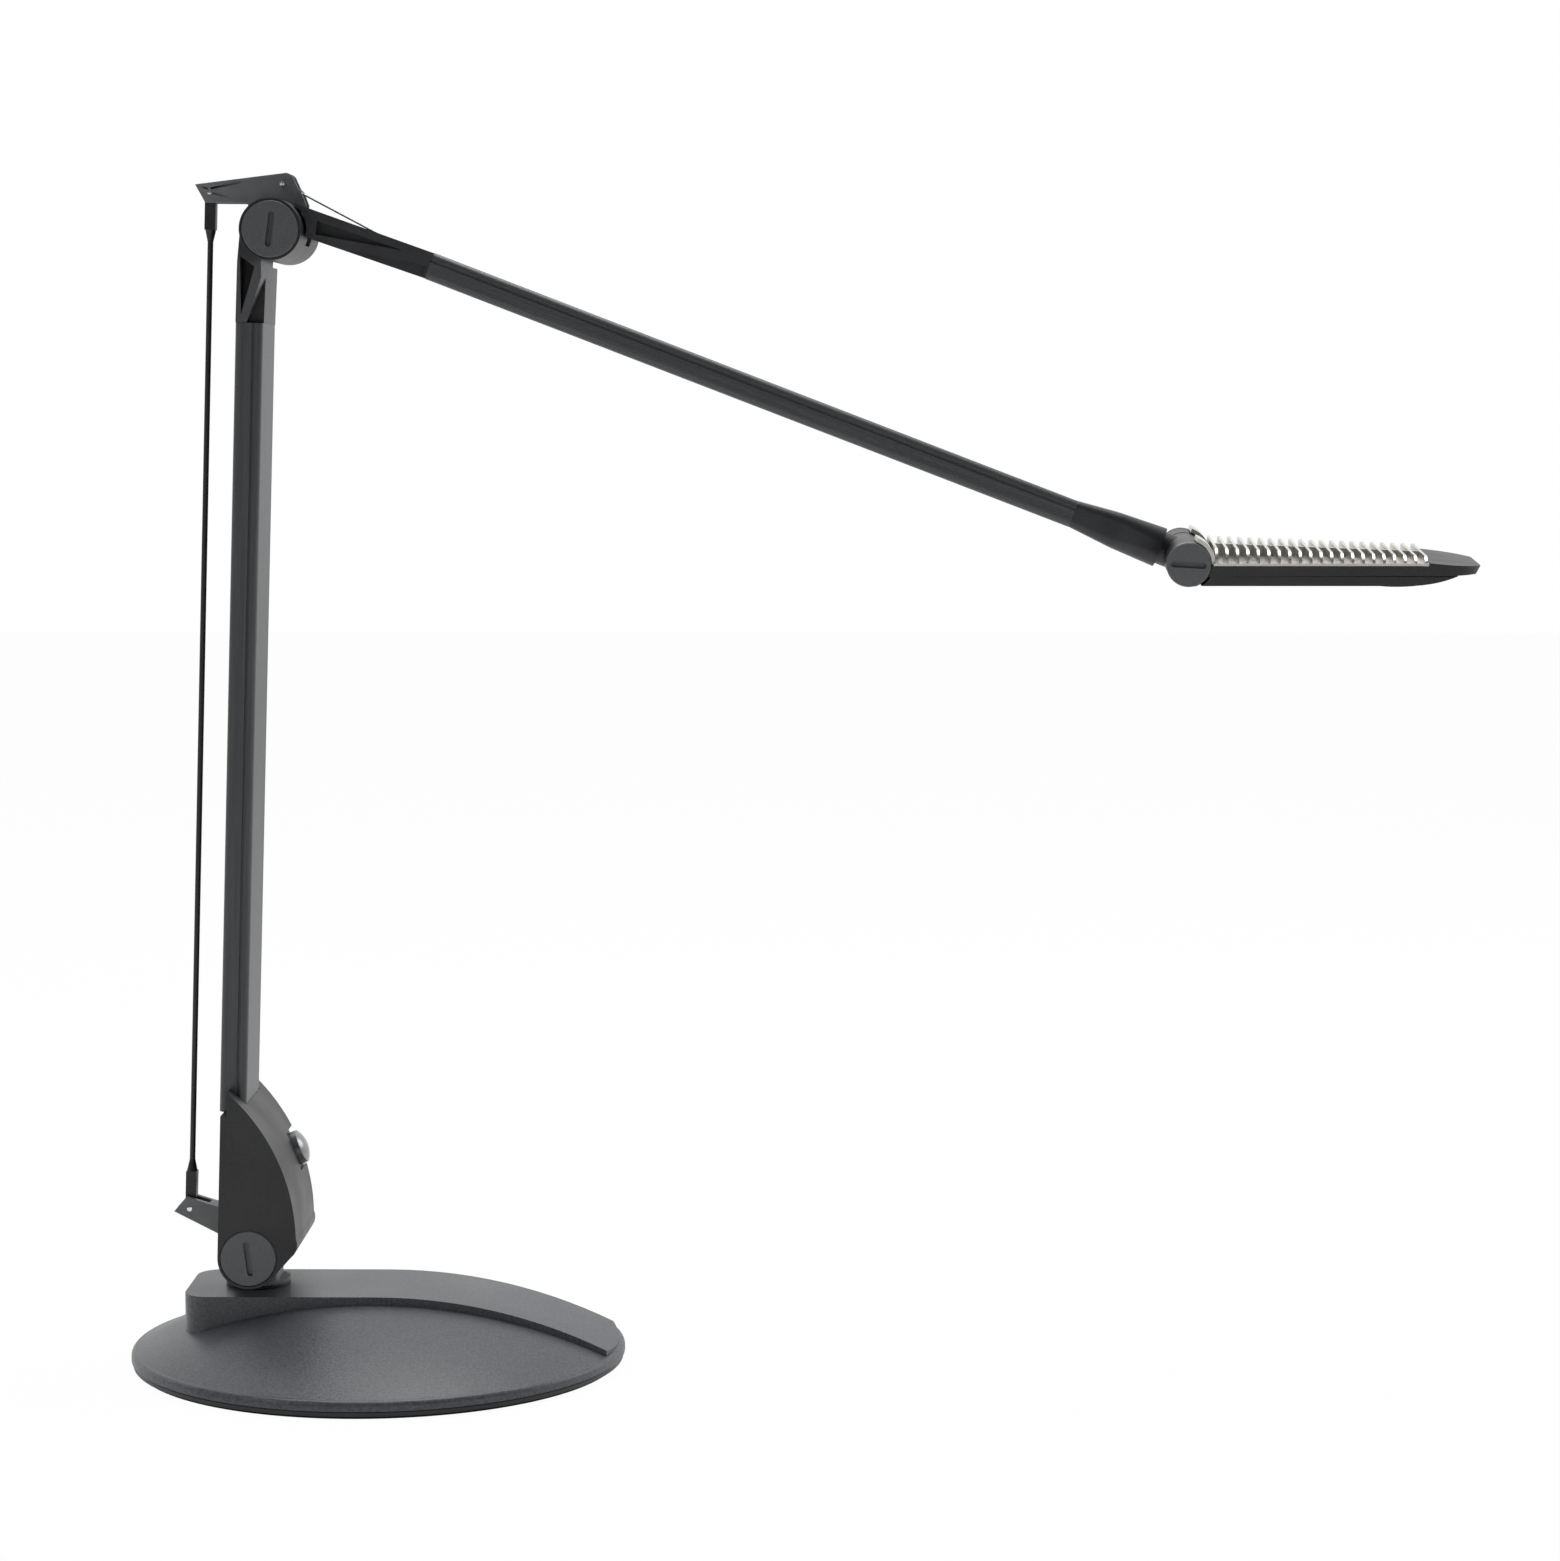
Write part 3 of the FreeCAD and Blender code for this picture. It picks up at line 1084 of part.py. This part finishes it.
PIECES = [
    base_pad, base_plate, base_weight, base_screws, base_cover, swivel_bush,
    hinge_bracket, swivel_nut, lever_pin, link_rod,
    arm_fork, casing_near, casing_far, casing_screws, hinge_bolt, hinge_knob, hinge_cap,
    balance_springs, driver_board, power_inlet, switch_body, power_button, lower_tube,
    elbow_lower, elbow_bolt, elbow_knob, bell_crank, crank_pins, balance_wire,
    elbow_upper, elbow_cap, upper_tube, spring_anchor, arm_spring, arm_cuff, neck_screw, neck,
    head_frame, heat_sink, led_board, led_emitters, head_bezel, diffuser, head_screws,
    head_bolt, head_knob, head_cap,
]

for piece in PIECES:
    save(piece.__name__, piece())
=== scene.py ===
import math

import bpy
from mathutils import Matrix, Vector


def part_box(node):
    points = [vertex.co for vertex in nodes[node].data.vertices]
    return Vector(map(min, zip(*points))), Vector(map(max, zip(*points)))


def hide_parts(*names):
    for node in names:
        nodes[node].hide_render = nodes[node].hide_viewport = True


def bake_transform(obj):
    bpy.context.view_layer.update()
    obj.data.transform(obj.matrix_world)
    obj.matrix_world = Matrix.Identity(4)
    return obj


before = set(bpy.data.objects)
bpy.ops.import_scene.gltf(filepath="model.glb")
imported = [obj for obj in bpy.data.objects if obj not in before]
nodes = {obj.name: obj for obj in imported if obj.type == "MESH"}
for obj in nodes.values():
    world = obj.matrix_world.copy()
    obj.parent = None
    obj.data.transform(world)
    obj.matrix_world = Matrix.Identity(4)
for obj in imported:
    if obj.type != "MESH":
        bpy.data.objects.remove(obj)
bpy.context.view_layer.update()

# Desk lamp with two balanced arms. Places and sizes are in metres, surface features in millimetres.
MM = 0.001
WHITE = (1, 1, 1, 1)
ACROSS = Vector((0, 1, 0))
scene = bpy.context.scene


# ---------------------------------------------------------------- colours and nodes
def to_linear(hex_colour):
    """A colour written as sRGB hex, as the linear values that shaders take."""
    channels = [int(hex_colour[i:i + 2], 16) / 255 for i in (1, 3, 5)]
    linear = [c / 12.92 if c <= 0.04045 else ((c + 0.055) / 1.055) ** 2.4 for c in channels]
    return (*linear, 1.0)


def add_node(tree, kind, inputs=None, **settings):
    """Adds one node. Inputs are values, or output sockets to link from."""
    node = tree.nodes.new(kind)
    for name, value in settings.items():
        setattr(node, name, value)
    for name, value in (inputs or {}).items():
        if isinstance(value, bpy.types.NodeSocket):
            tree.links.new(value, node.inputs[name])
        else:
            node.inputs[name].default_value = value
    return node


def new_material(name):
    material = bpy.data.materials.new(name)
    material.use_nodes = True
    material.node_tree.nodes.clear()
    return material, material.node_tree


def per_metre(size_mm):
    """Texture scale that gives features of about this size."""
    return 1000 / size_mm


def finish_surface(tree, **inputs):
    """The material's one surface shader. Names are written with underscores for spaces."""
    named = {name.replace("_", " "): value for name, value in inputs.items()}
    surface = add_node(tree, "ShaderNodeBsdfPrincipled", named)
    add_node(tree, "ShaderNodeOutputMaterial", {"Surface": surface.outputs[0]})


def grain(tree, size_mm, detail=3.0, stretch=(1, 1, 1), slope=0.0):
    """Noise of one grain size in the object's own space, drawn out along an axis if asked."""
    where = add_node(tree, "ShaderNodeTexCoord")
    turned = add_node(tree, "ShaderNodeMapping",
                      {"Vector": where.outputs["Object"], "Rotation": (0, math.radians(slope), 0)},
                      vector_type="TEXTURE")
    drawn = add_node(tree, "ShaderNodeMapping", {"Vector": turned.outputs[0], "Scale": stretch})
    noise = add_node(tree, "ShaderNodeTexNoise",
                     {"Vector": drawn.outputs[0], "Scale": per_metre(size_mm), "Detail": detail})
    return noise.outputs["Fac"]


# Most of a noise's values lie between these. Tones change over the narrower band.
TONE_BAND = (0.35, 0.65)
VALUE_BAND = (0.3, 0.7)


def tones(tree, factor, dark, light):
    """Two tones of one colour, spread by a texture."""
    ramp = add_node(tree, "ShaderNodeValToRGB", {"Fac": factor})
    stops = ramp.color_ramp.elements
    for stop, position, colour in zip(stops, TONE_BAND, (dark, light)):
        stop.position = position
        stop.color = to_linear(colour)
    return ramp.outputs["Color"]


def spread(tree, factor, low, high):
    """A value that wanders between two limits with a texture."""
    limits = {"Value": factor, "From Min": VALUE_BAND[0], "From Max": VALUE_BAND[1],
              "To Min": low, "To Max": high}
    return add_node(tree, "ShaderNodeMapRange", limits).outputs["Result"]


def relief(tree, height, depth_mm):
    """Fine unevenness that only bends the light."""
    bump = add_node(tree, "ShaderNodeBump", {"Height": height, "Distance": depth_mm * MM})
    return bump.outputs["Normal"]


# ---------------------------------------------------------------- materials
def powder_coat():
    """Powder-coated steel: the baked grains leave an orange peel with lighter crests."""
    material, tree = new_material("powder_coat")
    peel = grain(tree, 1.2, 2.0)
    haze = grain(tree, 70, 2.0)
    finish_surface(tree, Base_Color=tones(tree, peel, "#3f4146", "#53565b"), IOR=1.5,
                   Roughness=spread(tree, haze, 0.34, 0.44), Normal=relief(tree, peel, 0.12))
    return material


def satin_enamel(name, slope):
    """Satin enamel on extruded aluminium: the drawn lines of the extrusion show faintly through it."""
    material, tree = new_material(name)
    lines = grain(tree, 0.9, 2.0, stretch=(0.02, 1, 1), slope=slope)
    peel = grain(tree, 0.7, 2.0)
    finish_surface(tree, Base_Color=tones(tree, lines, "#424446", "#4c4e50"), IOR=1.5,
                   Roughness=spread(tree, peel, 0.36, 0.46), Normal=relief(tree, peel, 0.03))
    return material


def moulded_nylon():
    """Glass-filled nylon from a spark-textured mould: black, with a fine even grain and low gloss."""
    material, tree = new_material("moulded_nylon")
    spark = grain(tree, 0.8, 3.0)
    flow = grain(tree, 25, 2.0)
    finish_surface(tree, Base_Color=tones(tree, spark, "#1c1d1f", "#252628"), IOR=1.53,
                   Roughness=spread(tree, flow, 0.40, 0.50), Normal=relief(tree, spark, 0.05))
    return material


def knob_abs():
    """Moulded ABS: a little smoother than the housings, so its bevel catches the light."""
    material, tree = new_material("knob_abs")
    spark = grain(tree, 0.6, 2.0)
    finish_surface(tree, Base_Color=tones(tree, spark, "#555759", "#5e6062"), IOR=1.54,
                   Roughness=spread(tree, spark, 0.32, 0.40), Normal=relief(tree, spark, 0.03))
    return material


def painted_casting():
    """Die-cast zinc under black paint: soft shallow waves from the casting, satin gloss."""
    material, tree = new_material("painted_casting")
    wave = grain(tree, 14, 2.0)
    peel = grain(tree, 0.9, 2.0)
    finish_surface(tree, Base_Color=tones(tree, wave, "#292a2d", "#333437"), IOR=1.5,
                   Roughness=spread(tree, peel, 0.36, 0.48), Normal=relief(tree, peel, 0.05))
    return material


def phosphated_sheet():
    """Pressed sheet steel, phosphated grey: flat, with a slight cloudy bloom."""
    material, tree = new_material("phosphated_sheet")
    bloom = grain(tree, 9, 4.0)
    finish_surface(tree, Base_Color=tones(tree, bloom, "#6e7072", "#7a7c7e"), IOR=1.5,
                   Roughness=spread(tree, bloom, 0.38, 0.52), Normal=relief(tree, bloom, 0.02))
    return material


def black_oxide():
    """Steel in black oxide, for the rod and the base's floor plate: blue-black with a faint bloom."""
    material, tree = new_material("black_oxide")
    bloom = grain(tree, 9, 4.0)
    finish_surface(tree, Base_Color=tones(tree, bloom, "#1c1d1f", "#262728"), IOR=1.5,
                   Roughness=spread(tree, bloom, 0.34, 0.48), Normal=relief(tree, bloom, 0.02))
    return material


def clear_anodised():
    """Clear-anodised aluminium: silky silver, with the extrusion's lines along each fin."""
    material, tree = new_material("clear_anodised")
    lines = grain(tree, 0.5, 2.0, stretch=(1, 0.03, 1))
    finish_surface(tree, Base_Color=tones(tree, lines, "#c9c7c1", "#dedcd6"), Metallic=1.0,
                   Roughness=spread(tree, lines, 0.26, 0.38), Normal=relief(tree, lines, 0.02))
    return material


def as_cast_aluminium():
    """Raw aluminium casting: pale grey with a sandy skin."""
    material, tree = new_material("as_cast_aluminium")
    sand = grain(tree, 1.0, 4.0)
    finish_surface(tree, Base_Color=tones(tree, sand, "#8e8f90", "#a8a9aa"), Metallic=1.0,
                   Roughness=spread(tree, sand, 0.45, 0.6), Normal=relief(tree, sand, 0.1))
    return material


def polished_steel():
    """Polished rivet steel: bright, with faint turning marks."""
    material, tree = new_material("polished_steel")
    marks = grain(tree, 0.4, 2.0)
    finish_surface(tree, Base_Color=tones(tree, marks, "#cfd0d1", "#e2e3e4"), Metallic=1.0,
                   Roughness=spread(tree, marks, 0.12, 0.2))
    return material


def zinc_plate():
    """Zinc-plated fasteners: grey silver with a cloudy passivation."""
    material, tree = new_material("zinc_plate")
    cloud = grain(tree, 4, 3.0)
    finish_surface(tree, Base_Color=tones(tree, cloud, "#9a9c9e", "#b4b5b4"), Metallic=1.0,
                   Roughness=spread(tree, cloud, 0.28, 0.42))
    return material


def spring_wire():
    """Oil-tempered spring steel: dark grey, drawn smooth."""
    material, tree = new_material("spring_wire")
    scale = grain(tree, 2, 3.0)
    finish_surface(tree, Base_Color=tones(tree, scale, "#8a8b8d", "#a3a4a6"), Metallic=1.0,
                   Roughness=spread(tree, scale, 0.25, 0.4))
    return material


def foam_rubber():
    """Foam rubber pad: dead matt black with tiny open cells."""
    material, tree = new_material("foam_rubber")
    cells = grain(tree, 0.8, 4.0)
    finish_surface(tree, Base_Color=tones(tree, cells, "#141415", "#1e1e1f"), IOR=1.5,
                   Roughness=spread(tree, cells, 0.8, 0.95), Normal=relief(tree, cells, 0.15))
    return material


def grey_iron():
    """Grey cast iron: dark, granular, with a dull metal shine."""
    material, tree = new_material("grey_iron")
    sand = grain(tree, 1.6, 5.0)
    finish_surface(tree, Base_Color=tones(tree, sand, "#3a3a3b", "#4c4c4d"), Metallic=0.8,
                   Roughness=spread(tree, sand, 0.6, 0.8), Normal=relief(tree, sand, 0.3))
    return material


def bearing_nylon():
    """Unfilled nylon for bush, switch and socket: black with a waxy sheen."""
    material, tree = new_material("bearing_nylon")
    wax = grain(tree, 3, 2.0)
    finish_surface(tree, Base_Color=tones(tree, wax, "#161617", "#1f1f20"), IOR=1.53,
                   Roughness=spread(tree, wax, 0.35, 0.5))
    return material


def silver_lacquer():
    """Silver lacquer over ABS, for the push button: tiny flakes under a clear coat."""
    material, tree = new_material("silver_lacquer")
    flakes = grain(tree, 0.25, 2.0)
    finish_surface(tree, Base_Color=tones(tree, flakes, "#7d7f82", "#9a9c9f"), Metallic=0.6,
                   Roughness=spread(tree, flakes, 0.25, 0.35), Coat_Weight=0.4)
    return material


def board_laminate():
    """White solder mask on a metal-core board, with its slight print texture."""
    material, tree = new_material("board_laminate")
    weave = grain(tree, 0.8, 2.0)
    finish_surface(tree, Base_Color=tones(tree, weave, "#d8d8d4", "#e4e4e0"), IOR=1.5,
                   Roughness=spread(tree, weave, 0.35, 0.45))
    return material


def phosphor_gel():
    """Silicone with yellow phosphor over each emitter."""
    material, tree = new_material("phosphor_gel")
    dust = grain(tree, 0.5, 2.0)
    finish_surface(tree, Base_Color=tones(tree, dust, "#d9c04e", "#e6d06a"), IOR=1.41,
                   Roughness=spread(tree, dust, 0.3, 0.4))
    return material


def opal_acrylic():
    """Opal acrylic diffuser: milky white, glossy skin over a soft body."""
    material, tree = new_material("opal_acrylic")
    milk = grain(tree, 12, 2.0)
    finish_surface(tree, Base_Color=tones(tree, milk, "#e6e6e2", "#f0f0ec"), IOR=1.49,
                   Roughness=spread(tree, milk, 0.25, 0.32), Subsurface_Weight=0.2,
                   Subsurface_Scale=0.002)
    return material


# Slopes of the two tubes in degrees, for the drawn lines along them.
LOWER_ARM_SLOPE = -88.1
UPPER_ARM_SLOPE = 21.0

nylon = moulded_nylon()
knob = knob_abs()
casting = painted_casting()
sheet = phosphated_sheet()
oxide = black_oxide()
zinc = zinc_plate()
spring = spring_wire()
wax_nylon = bearing_nylon()
board = board_laminate()
rivet = polished_steel()

# Each solid's material, and how far its edges are broken in millimetres.
FINISHES = {
    "base_pad": (foam_rubber(), 0.3), "base_plate": (oxide, 0.2), "base_weight": (grey_iron(), 0.6),
    "base_screws": (zinc, 0.1), "base_cover": (powder_coat(), 0.7), "swivel_bush": (wax_nylon, 0.2),
    "hinge_bracket": (sheet, 0.4), "swivel_nut": (zinc, 0.3), "lever_pin": (rivet, 0.15),
    "link_rod": (oxide, 0.25), "arm_fork": (as_cast_aluminium(), 0.4),
    "casing_near": (nylon, 0.5), "casing_far": (nylon, 0.5), "casing_screws": (zinc, 0.1),
    "hinge_bolt": (zinc, 0.2), "hinge_knob": (knob, 0.2), "hinge_cap": (knob, 0.2),
    "balance_springs": (spring, 0.2), "driver_board": (board, 0.1), "power_inlet": (wax_nylon, 0.15),
    "switch_body": (wax_nylon, 0.2), "power_button": (silver_lacquer(), 0.25),
    "lower_tube": (satin_enamel("lower_tube_enamel", LOWER_ARM_SLOPE), 0.12),
    "upper_tube": (satin_enamel("upper_tube_enamel", UPPER_ARM_SLOPE), 0.12),
    "elbow_lower": (casting, 0.4), "elbow_bolt": (zinc, 0.2), "elbow_knob": (knob, 0.2),
    "bell_crank": (sheet, 0.3), "crank_pins": (rivet, 0.15), "elbow_upper": (casting, 0.4),
    "elbow_cap": (knob, 0.2), "spring_anchor": (zinc, 0.1), "arm_spring": (spring, 0.1),
    "arm_cuff": (casting, 0.4), "neck_screw": (zinc, 0.1), "neck": (casting, 0.3),
    "head_frame": (nylon, 0.3), "heat_sink": (clear_anodised(), 0.12), "led_board": (board, 0.1),
    "led_emitters": (phosphor_gel(), 0.1), "head_bezel": (nylon, 0.3), "diffuser": (opal_acrylic(), 0.2),
    "head_screws": (zinc, 0.1), "head_bolt": (zinc, 0.2), "head_knob": (knob, 0.2),
    "head_cap": (knob, 0.2),
}


# ---------------------------------------------------------------- finish of the solids
SAME_POINT = 0.002 * MM
SHARP_EDGE = math.radians(40)
ROUNDING_STEPS = 2
BIGGEST_FACE_LEADS = 100


def break_edges(thing, width_mm):
    """Joins the faces and rounds the sharp edges a little."""
    weld = thing.modifiers.new("weld", "WELD")
    weld.merge_threshold = SAME_POINT
    bevel = thing.modifiers.new("broken_edges", "BEVEL")
    bevel.width = width_mm * MM
    bevel.segments = ROUNDING_STEPS
    bevel.limit_method = "ANGLE"
    bevel.angle_limit = SHARP_EDGE


def shade_round(thing):
    """Shades curved faces smooth while the broad flat ones stay flat."""
    thing.data.shade_smooth()
    normals = thing.modifiers.new("flat_faces", "WEIGHTED_NORMAL")
    normals.weight = BIGGEST_FACE_LEADS


def dress(thing, material):
    thing.data.materials.clear()
    thing.data.materials.append(material)


# Pieces pressed from sheet have flat sides all over.
SHEET_PIECES = ("hinge_bracket", "bell_crank")

for node_name, (finish, edge) in FINISHES.items():
    dress(nodes[node_name], finish)
    break_edges(nodes[node_name], edge)
    if node_name not in SHEET_PIECES:
        shade_round(nodes[node_name])


# ---------------------------------------------------------------- balance wire
WIRE_RADIUS = 0.45 * MM
EYE_RADIUS = 1.75 * MM
EYE_OUTSIDE = 2.3 * MM
WIRE_STEPS = 24
EYE_STEPS = 20
SIDES = 8


def tube_faces(points, closed, start):
    """Round tube along points in a plane across Y, as vertices and faces numbered from start."""
    vertices = []
    count = len(points)
    for index, point in enumerate(points):
        ahead = points[(index + 1) % count] if closed else points[min(index + 1, count - 1)]
        behind = points[index - 1] if closed else points[max(index - 1, 0)]
        along = (ahead - behind).normalized()
        out = along.cross(ACROSS)
        for side in range(SIDES):
            turn = 2 * math.pi * side / SIDES
            vertices.append(point + WIRE_RADIUS * (math.cos(turn) * out + math.sin(turn) * ACROSS))
    faces = []
    for ring in range(count if closed else count - 1):
        here, there = ring * SIDES, (ring + 1) % count * SIDES
        for side in range(SIDES):
            beside = (side + 1) % SIDES
            corners = (here + side, here + beside, there + beside, there + side)
            faces.append([start + corner for corner in corners])
    if not closed:
        faces.append([start + side for side in reversed(range(SIDES))])
        faces.append([start + (count - 1) * SIDES + side for side in range(SIDES)])
    return vertices, faces


def eye_points(centre):
    """Middle line of the wire's eye round a pin."""
    turns = [2 * math.pi * step / EYE_STEPS for step in range(EYE_STEPS)]
    return [centre + EYE_RADIUS * Vector((math.cos(turn), 0, math.sin(turn))) for turn in turns]


def wire_ends():
    """Centres of the two eyes: the wire's solid runs corner to corner of its box."""
    low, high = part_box("balance_wire")
    first = Vector((low[0] + EYE_OUTSIDE, 0, high[2] - EYE_OUTSIDE))
    last = Vector((high[0] - EYE_OUTSIDE, 0, low[2] + EYE_OUTSIDE))
    return first, last


def make_balance_wire():
    """Straight wire with a round eye at each end."""
    first, last = wire_ends()
    run = (last - first).normalized() * EYE_RADIUS
    reach = last - first - 2 * run
    straight = [first + run + reach * step / WIRE_STEPS for step in range(WIRE_STEPS + 1)]
    vertices, faces = [], []
    for points, closed in ((eye_points(first), True), (straight, False), (eye_points(last), True)):
        more_vertices, more_faces = tube_faces(points, closed, len(vertices))
        vertices += more_vertices
        faces += more_faces
    mesh = bpy.data.meshes.new("balance_wire_drawn")
    mesh.from_pydata(vertices, [], faces)
    mesh.update()
    wire = bpy.data.objects.new("balance_wire_drawn", mesh)
    scene.collection.objects.link(wire)
    dress(wire, spring)
    mesh.shade_smooth()
    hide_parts("balance_wire")
    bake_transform(wire)


make_balance_wire()


# ---------------------------------------------------------------- floor, light and camera
# Share of plain white that the paper shows to the eye, and in reflections.
PAPER_SEEN = 0.97
PAPER_MIRRORED = 0.35
FLOOR_HALF = 6.0
# The room's light on its dim near side and its pale far side, and how far back it changes,
# from -1 straight in front to 1 straight behind.
DIM_SIDE, PALE_SIDE = 0.13, 0.95
FADE_FROM, FADE_TO = -0.3, 0.5


def math_node(tree, operation, first, second):
    return add_node(tree, "ShaderNodeMath", {0: first, 1: second}, operation=operation).outputs[0]


def mix_by(tree, share, where_none, where_full):
    """The first shader, turned into the second by this share."""
    return add_node(tree, "ShaderNodeMixShader", {0: share, 1: where_none, 2: where_full}).outputs[0]


def paper_sweep():
    """White studio paper: white to the eye and in reflections, shaded where the lamp stands."""
    material, tree = new_material("paper_sweep")
    path = add_node(tree, "ShaderNodeLightPath").outputs
    fibre = grain(tree, 30, 2.0)
    paper = add_node(tree, "ShaderNodeBsdfDiffuse", {"Color": tones(tree, fibre, "#ededed", "#f2f2f2")})
    glow = add_node(tree, "ShaderNodeEmission", {"Color": WHITE, "Strength": 1.0})
    seen = math_node(tree, "MULTIPLY", path["Is Camera Ray"], PAPER_SEEN)
    mirrored = math_node(tree, "MAXIMUM", path["Is Glossy Ray"], path["Is Transmission Ray"])
    share = math_node(tree, "MAXIMUM", seen, math_node(tree, "MULTIPLY", mirrored, PAPER_MIRRORED))
    mixed = mix_by(tree, share, paper.outputs[0], glow.outputs[0])
    add_node(tree, "ShaderNodeOutputMaterial", {"Surface": mixed})
    return material


def make_floor():
    corners = [(x * FLOOR_HALF, y * FLOOR_HALF, 0) for x, y in ((-1, -1), (1, -1), (1, 1), (-1, 1))]
    mesh = bpy.data.meshes.new("floor")
    mesh.from_pydata(corners, [], [(0, 1, 2, 3)])
    floor = bpy.data.objects.new("floor", mesh)
    scene.collection.objects.link(floor)
    mesh.materials.append(paper_sweep())


def white_room():
    """White to the camera. The room's light comes from the pale wall behind; its near side is dim."""
    world = bpy.data.worlds.new("white_room")
    scene.world = world
    world.use_nodes = True
    tree = world.node_tree
    tree.nodes.clear()
    path = add_node(tree, "ShaderNodeLightPath").outputs
    clear = math_node(tree, "MAXIMUM", path["Is Camera Ray"], path["Is Transmission Ray"])
    direction = add_node(tree, "ShaderNodeTexCoord").outputs["Generated"]
    depth = add_node(tree, "ShaderNodeSeparateXYZ", {"Vector": direction}).outputs["Y"]
    shade = add_node(tree, "ShaderNodeMapRange",
                     {"Value": depth, "From Min": FADE_FROM, "From Max": FADE_TO,
                      "To Min": DIM_SIDE, "To Max": PALE_SIDE}).outputs["Result"]
    room = add_node(tree, "ShaderNodeBackground", {"Color": WHITE, "Strength": shade})
    white = add_node(tree, "ShaderNodeBackground", {"Color": WHITE, "Strength": 1.0})
    mixed = mix_by(tree, clear, room.outputs[0], white.outputs[0])
    add_node(tree, "ShaderNodeOutputWorld", {"Surface": mixed})


def softbox(name, place, target, size, power):
    light = bpy.data.lights.new(name, "AREA")
    light.shape = "DISK"
    light.size = size
    light.energy = power
    lamp = bpy.data.objects.new(name, light)
    lamp.location = place
    lamp.rotation_euler = (Vector(target) - Vector(place)).to_track_quat("-Z", "Y").to_euler()
    scene.collection.objects.link(lamp)


def add_camera():
    """Long lens a little below the elbow's height, looking slightly down."""
    lens = bpy.data.cameras.new("camera")
    lens.sensor_fit = "HORIZONTAL"
    lens.sensor_width = 36.0
    lens.lens = 91.96
    lens.clip_end = 50.0
    camera = bpy.data.objects.new("camera", lens)
    camera.location = (0.2078, -1.834, 0.4455)
    camera.rotation_euler = (math.radians(84.617), 0.0, math.radians(0.627))
    scene.collection.objects.link(camera)
    scene.camera = camera


make_floor()
white_room()
softbox("overhead", (0.1, 0.35, 2.1), (0.05, 0, 0.2), 1.6, 30)
softbox("left_front", (-1.7, -1.5, 1.3), (0.05, 0, 0.25), 1.0, 4.5)
softbox("right_back", (1.9, 0.9, 1.2), (0.1, 0, 0.3), 1.0, 9)
add_camera()
scene.view_settings.view_transform = "Standard"
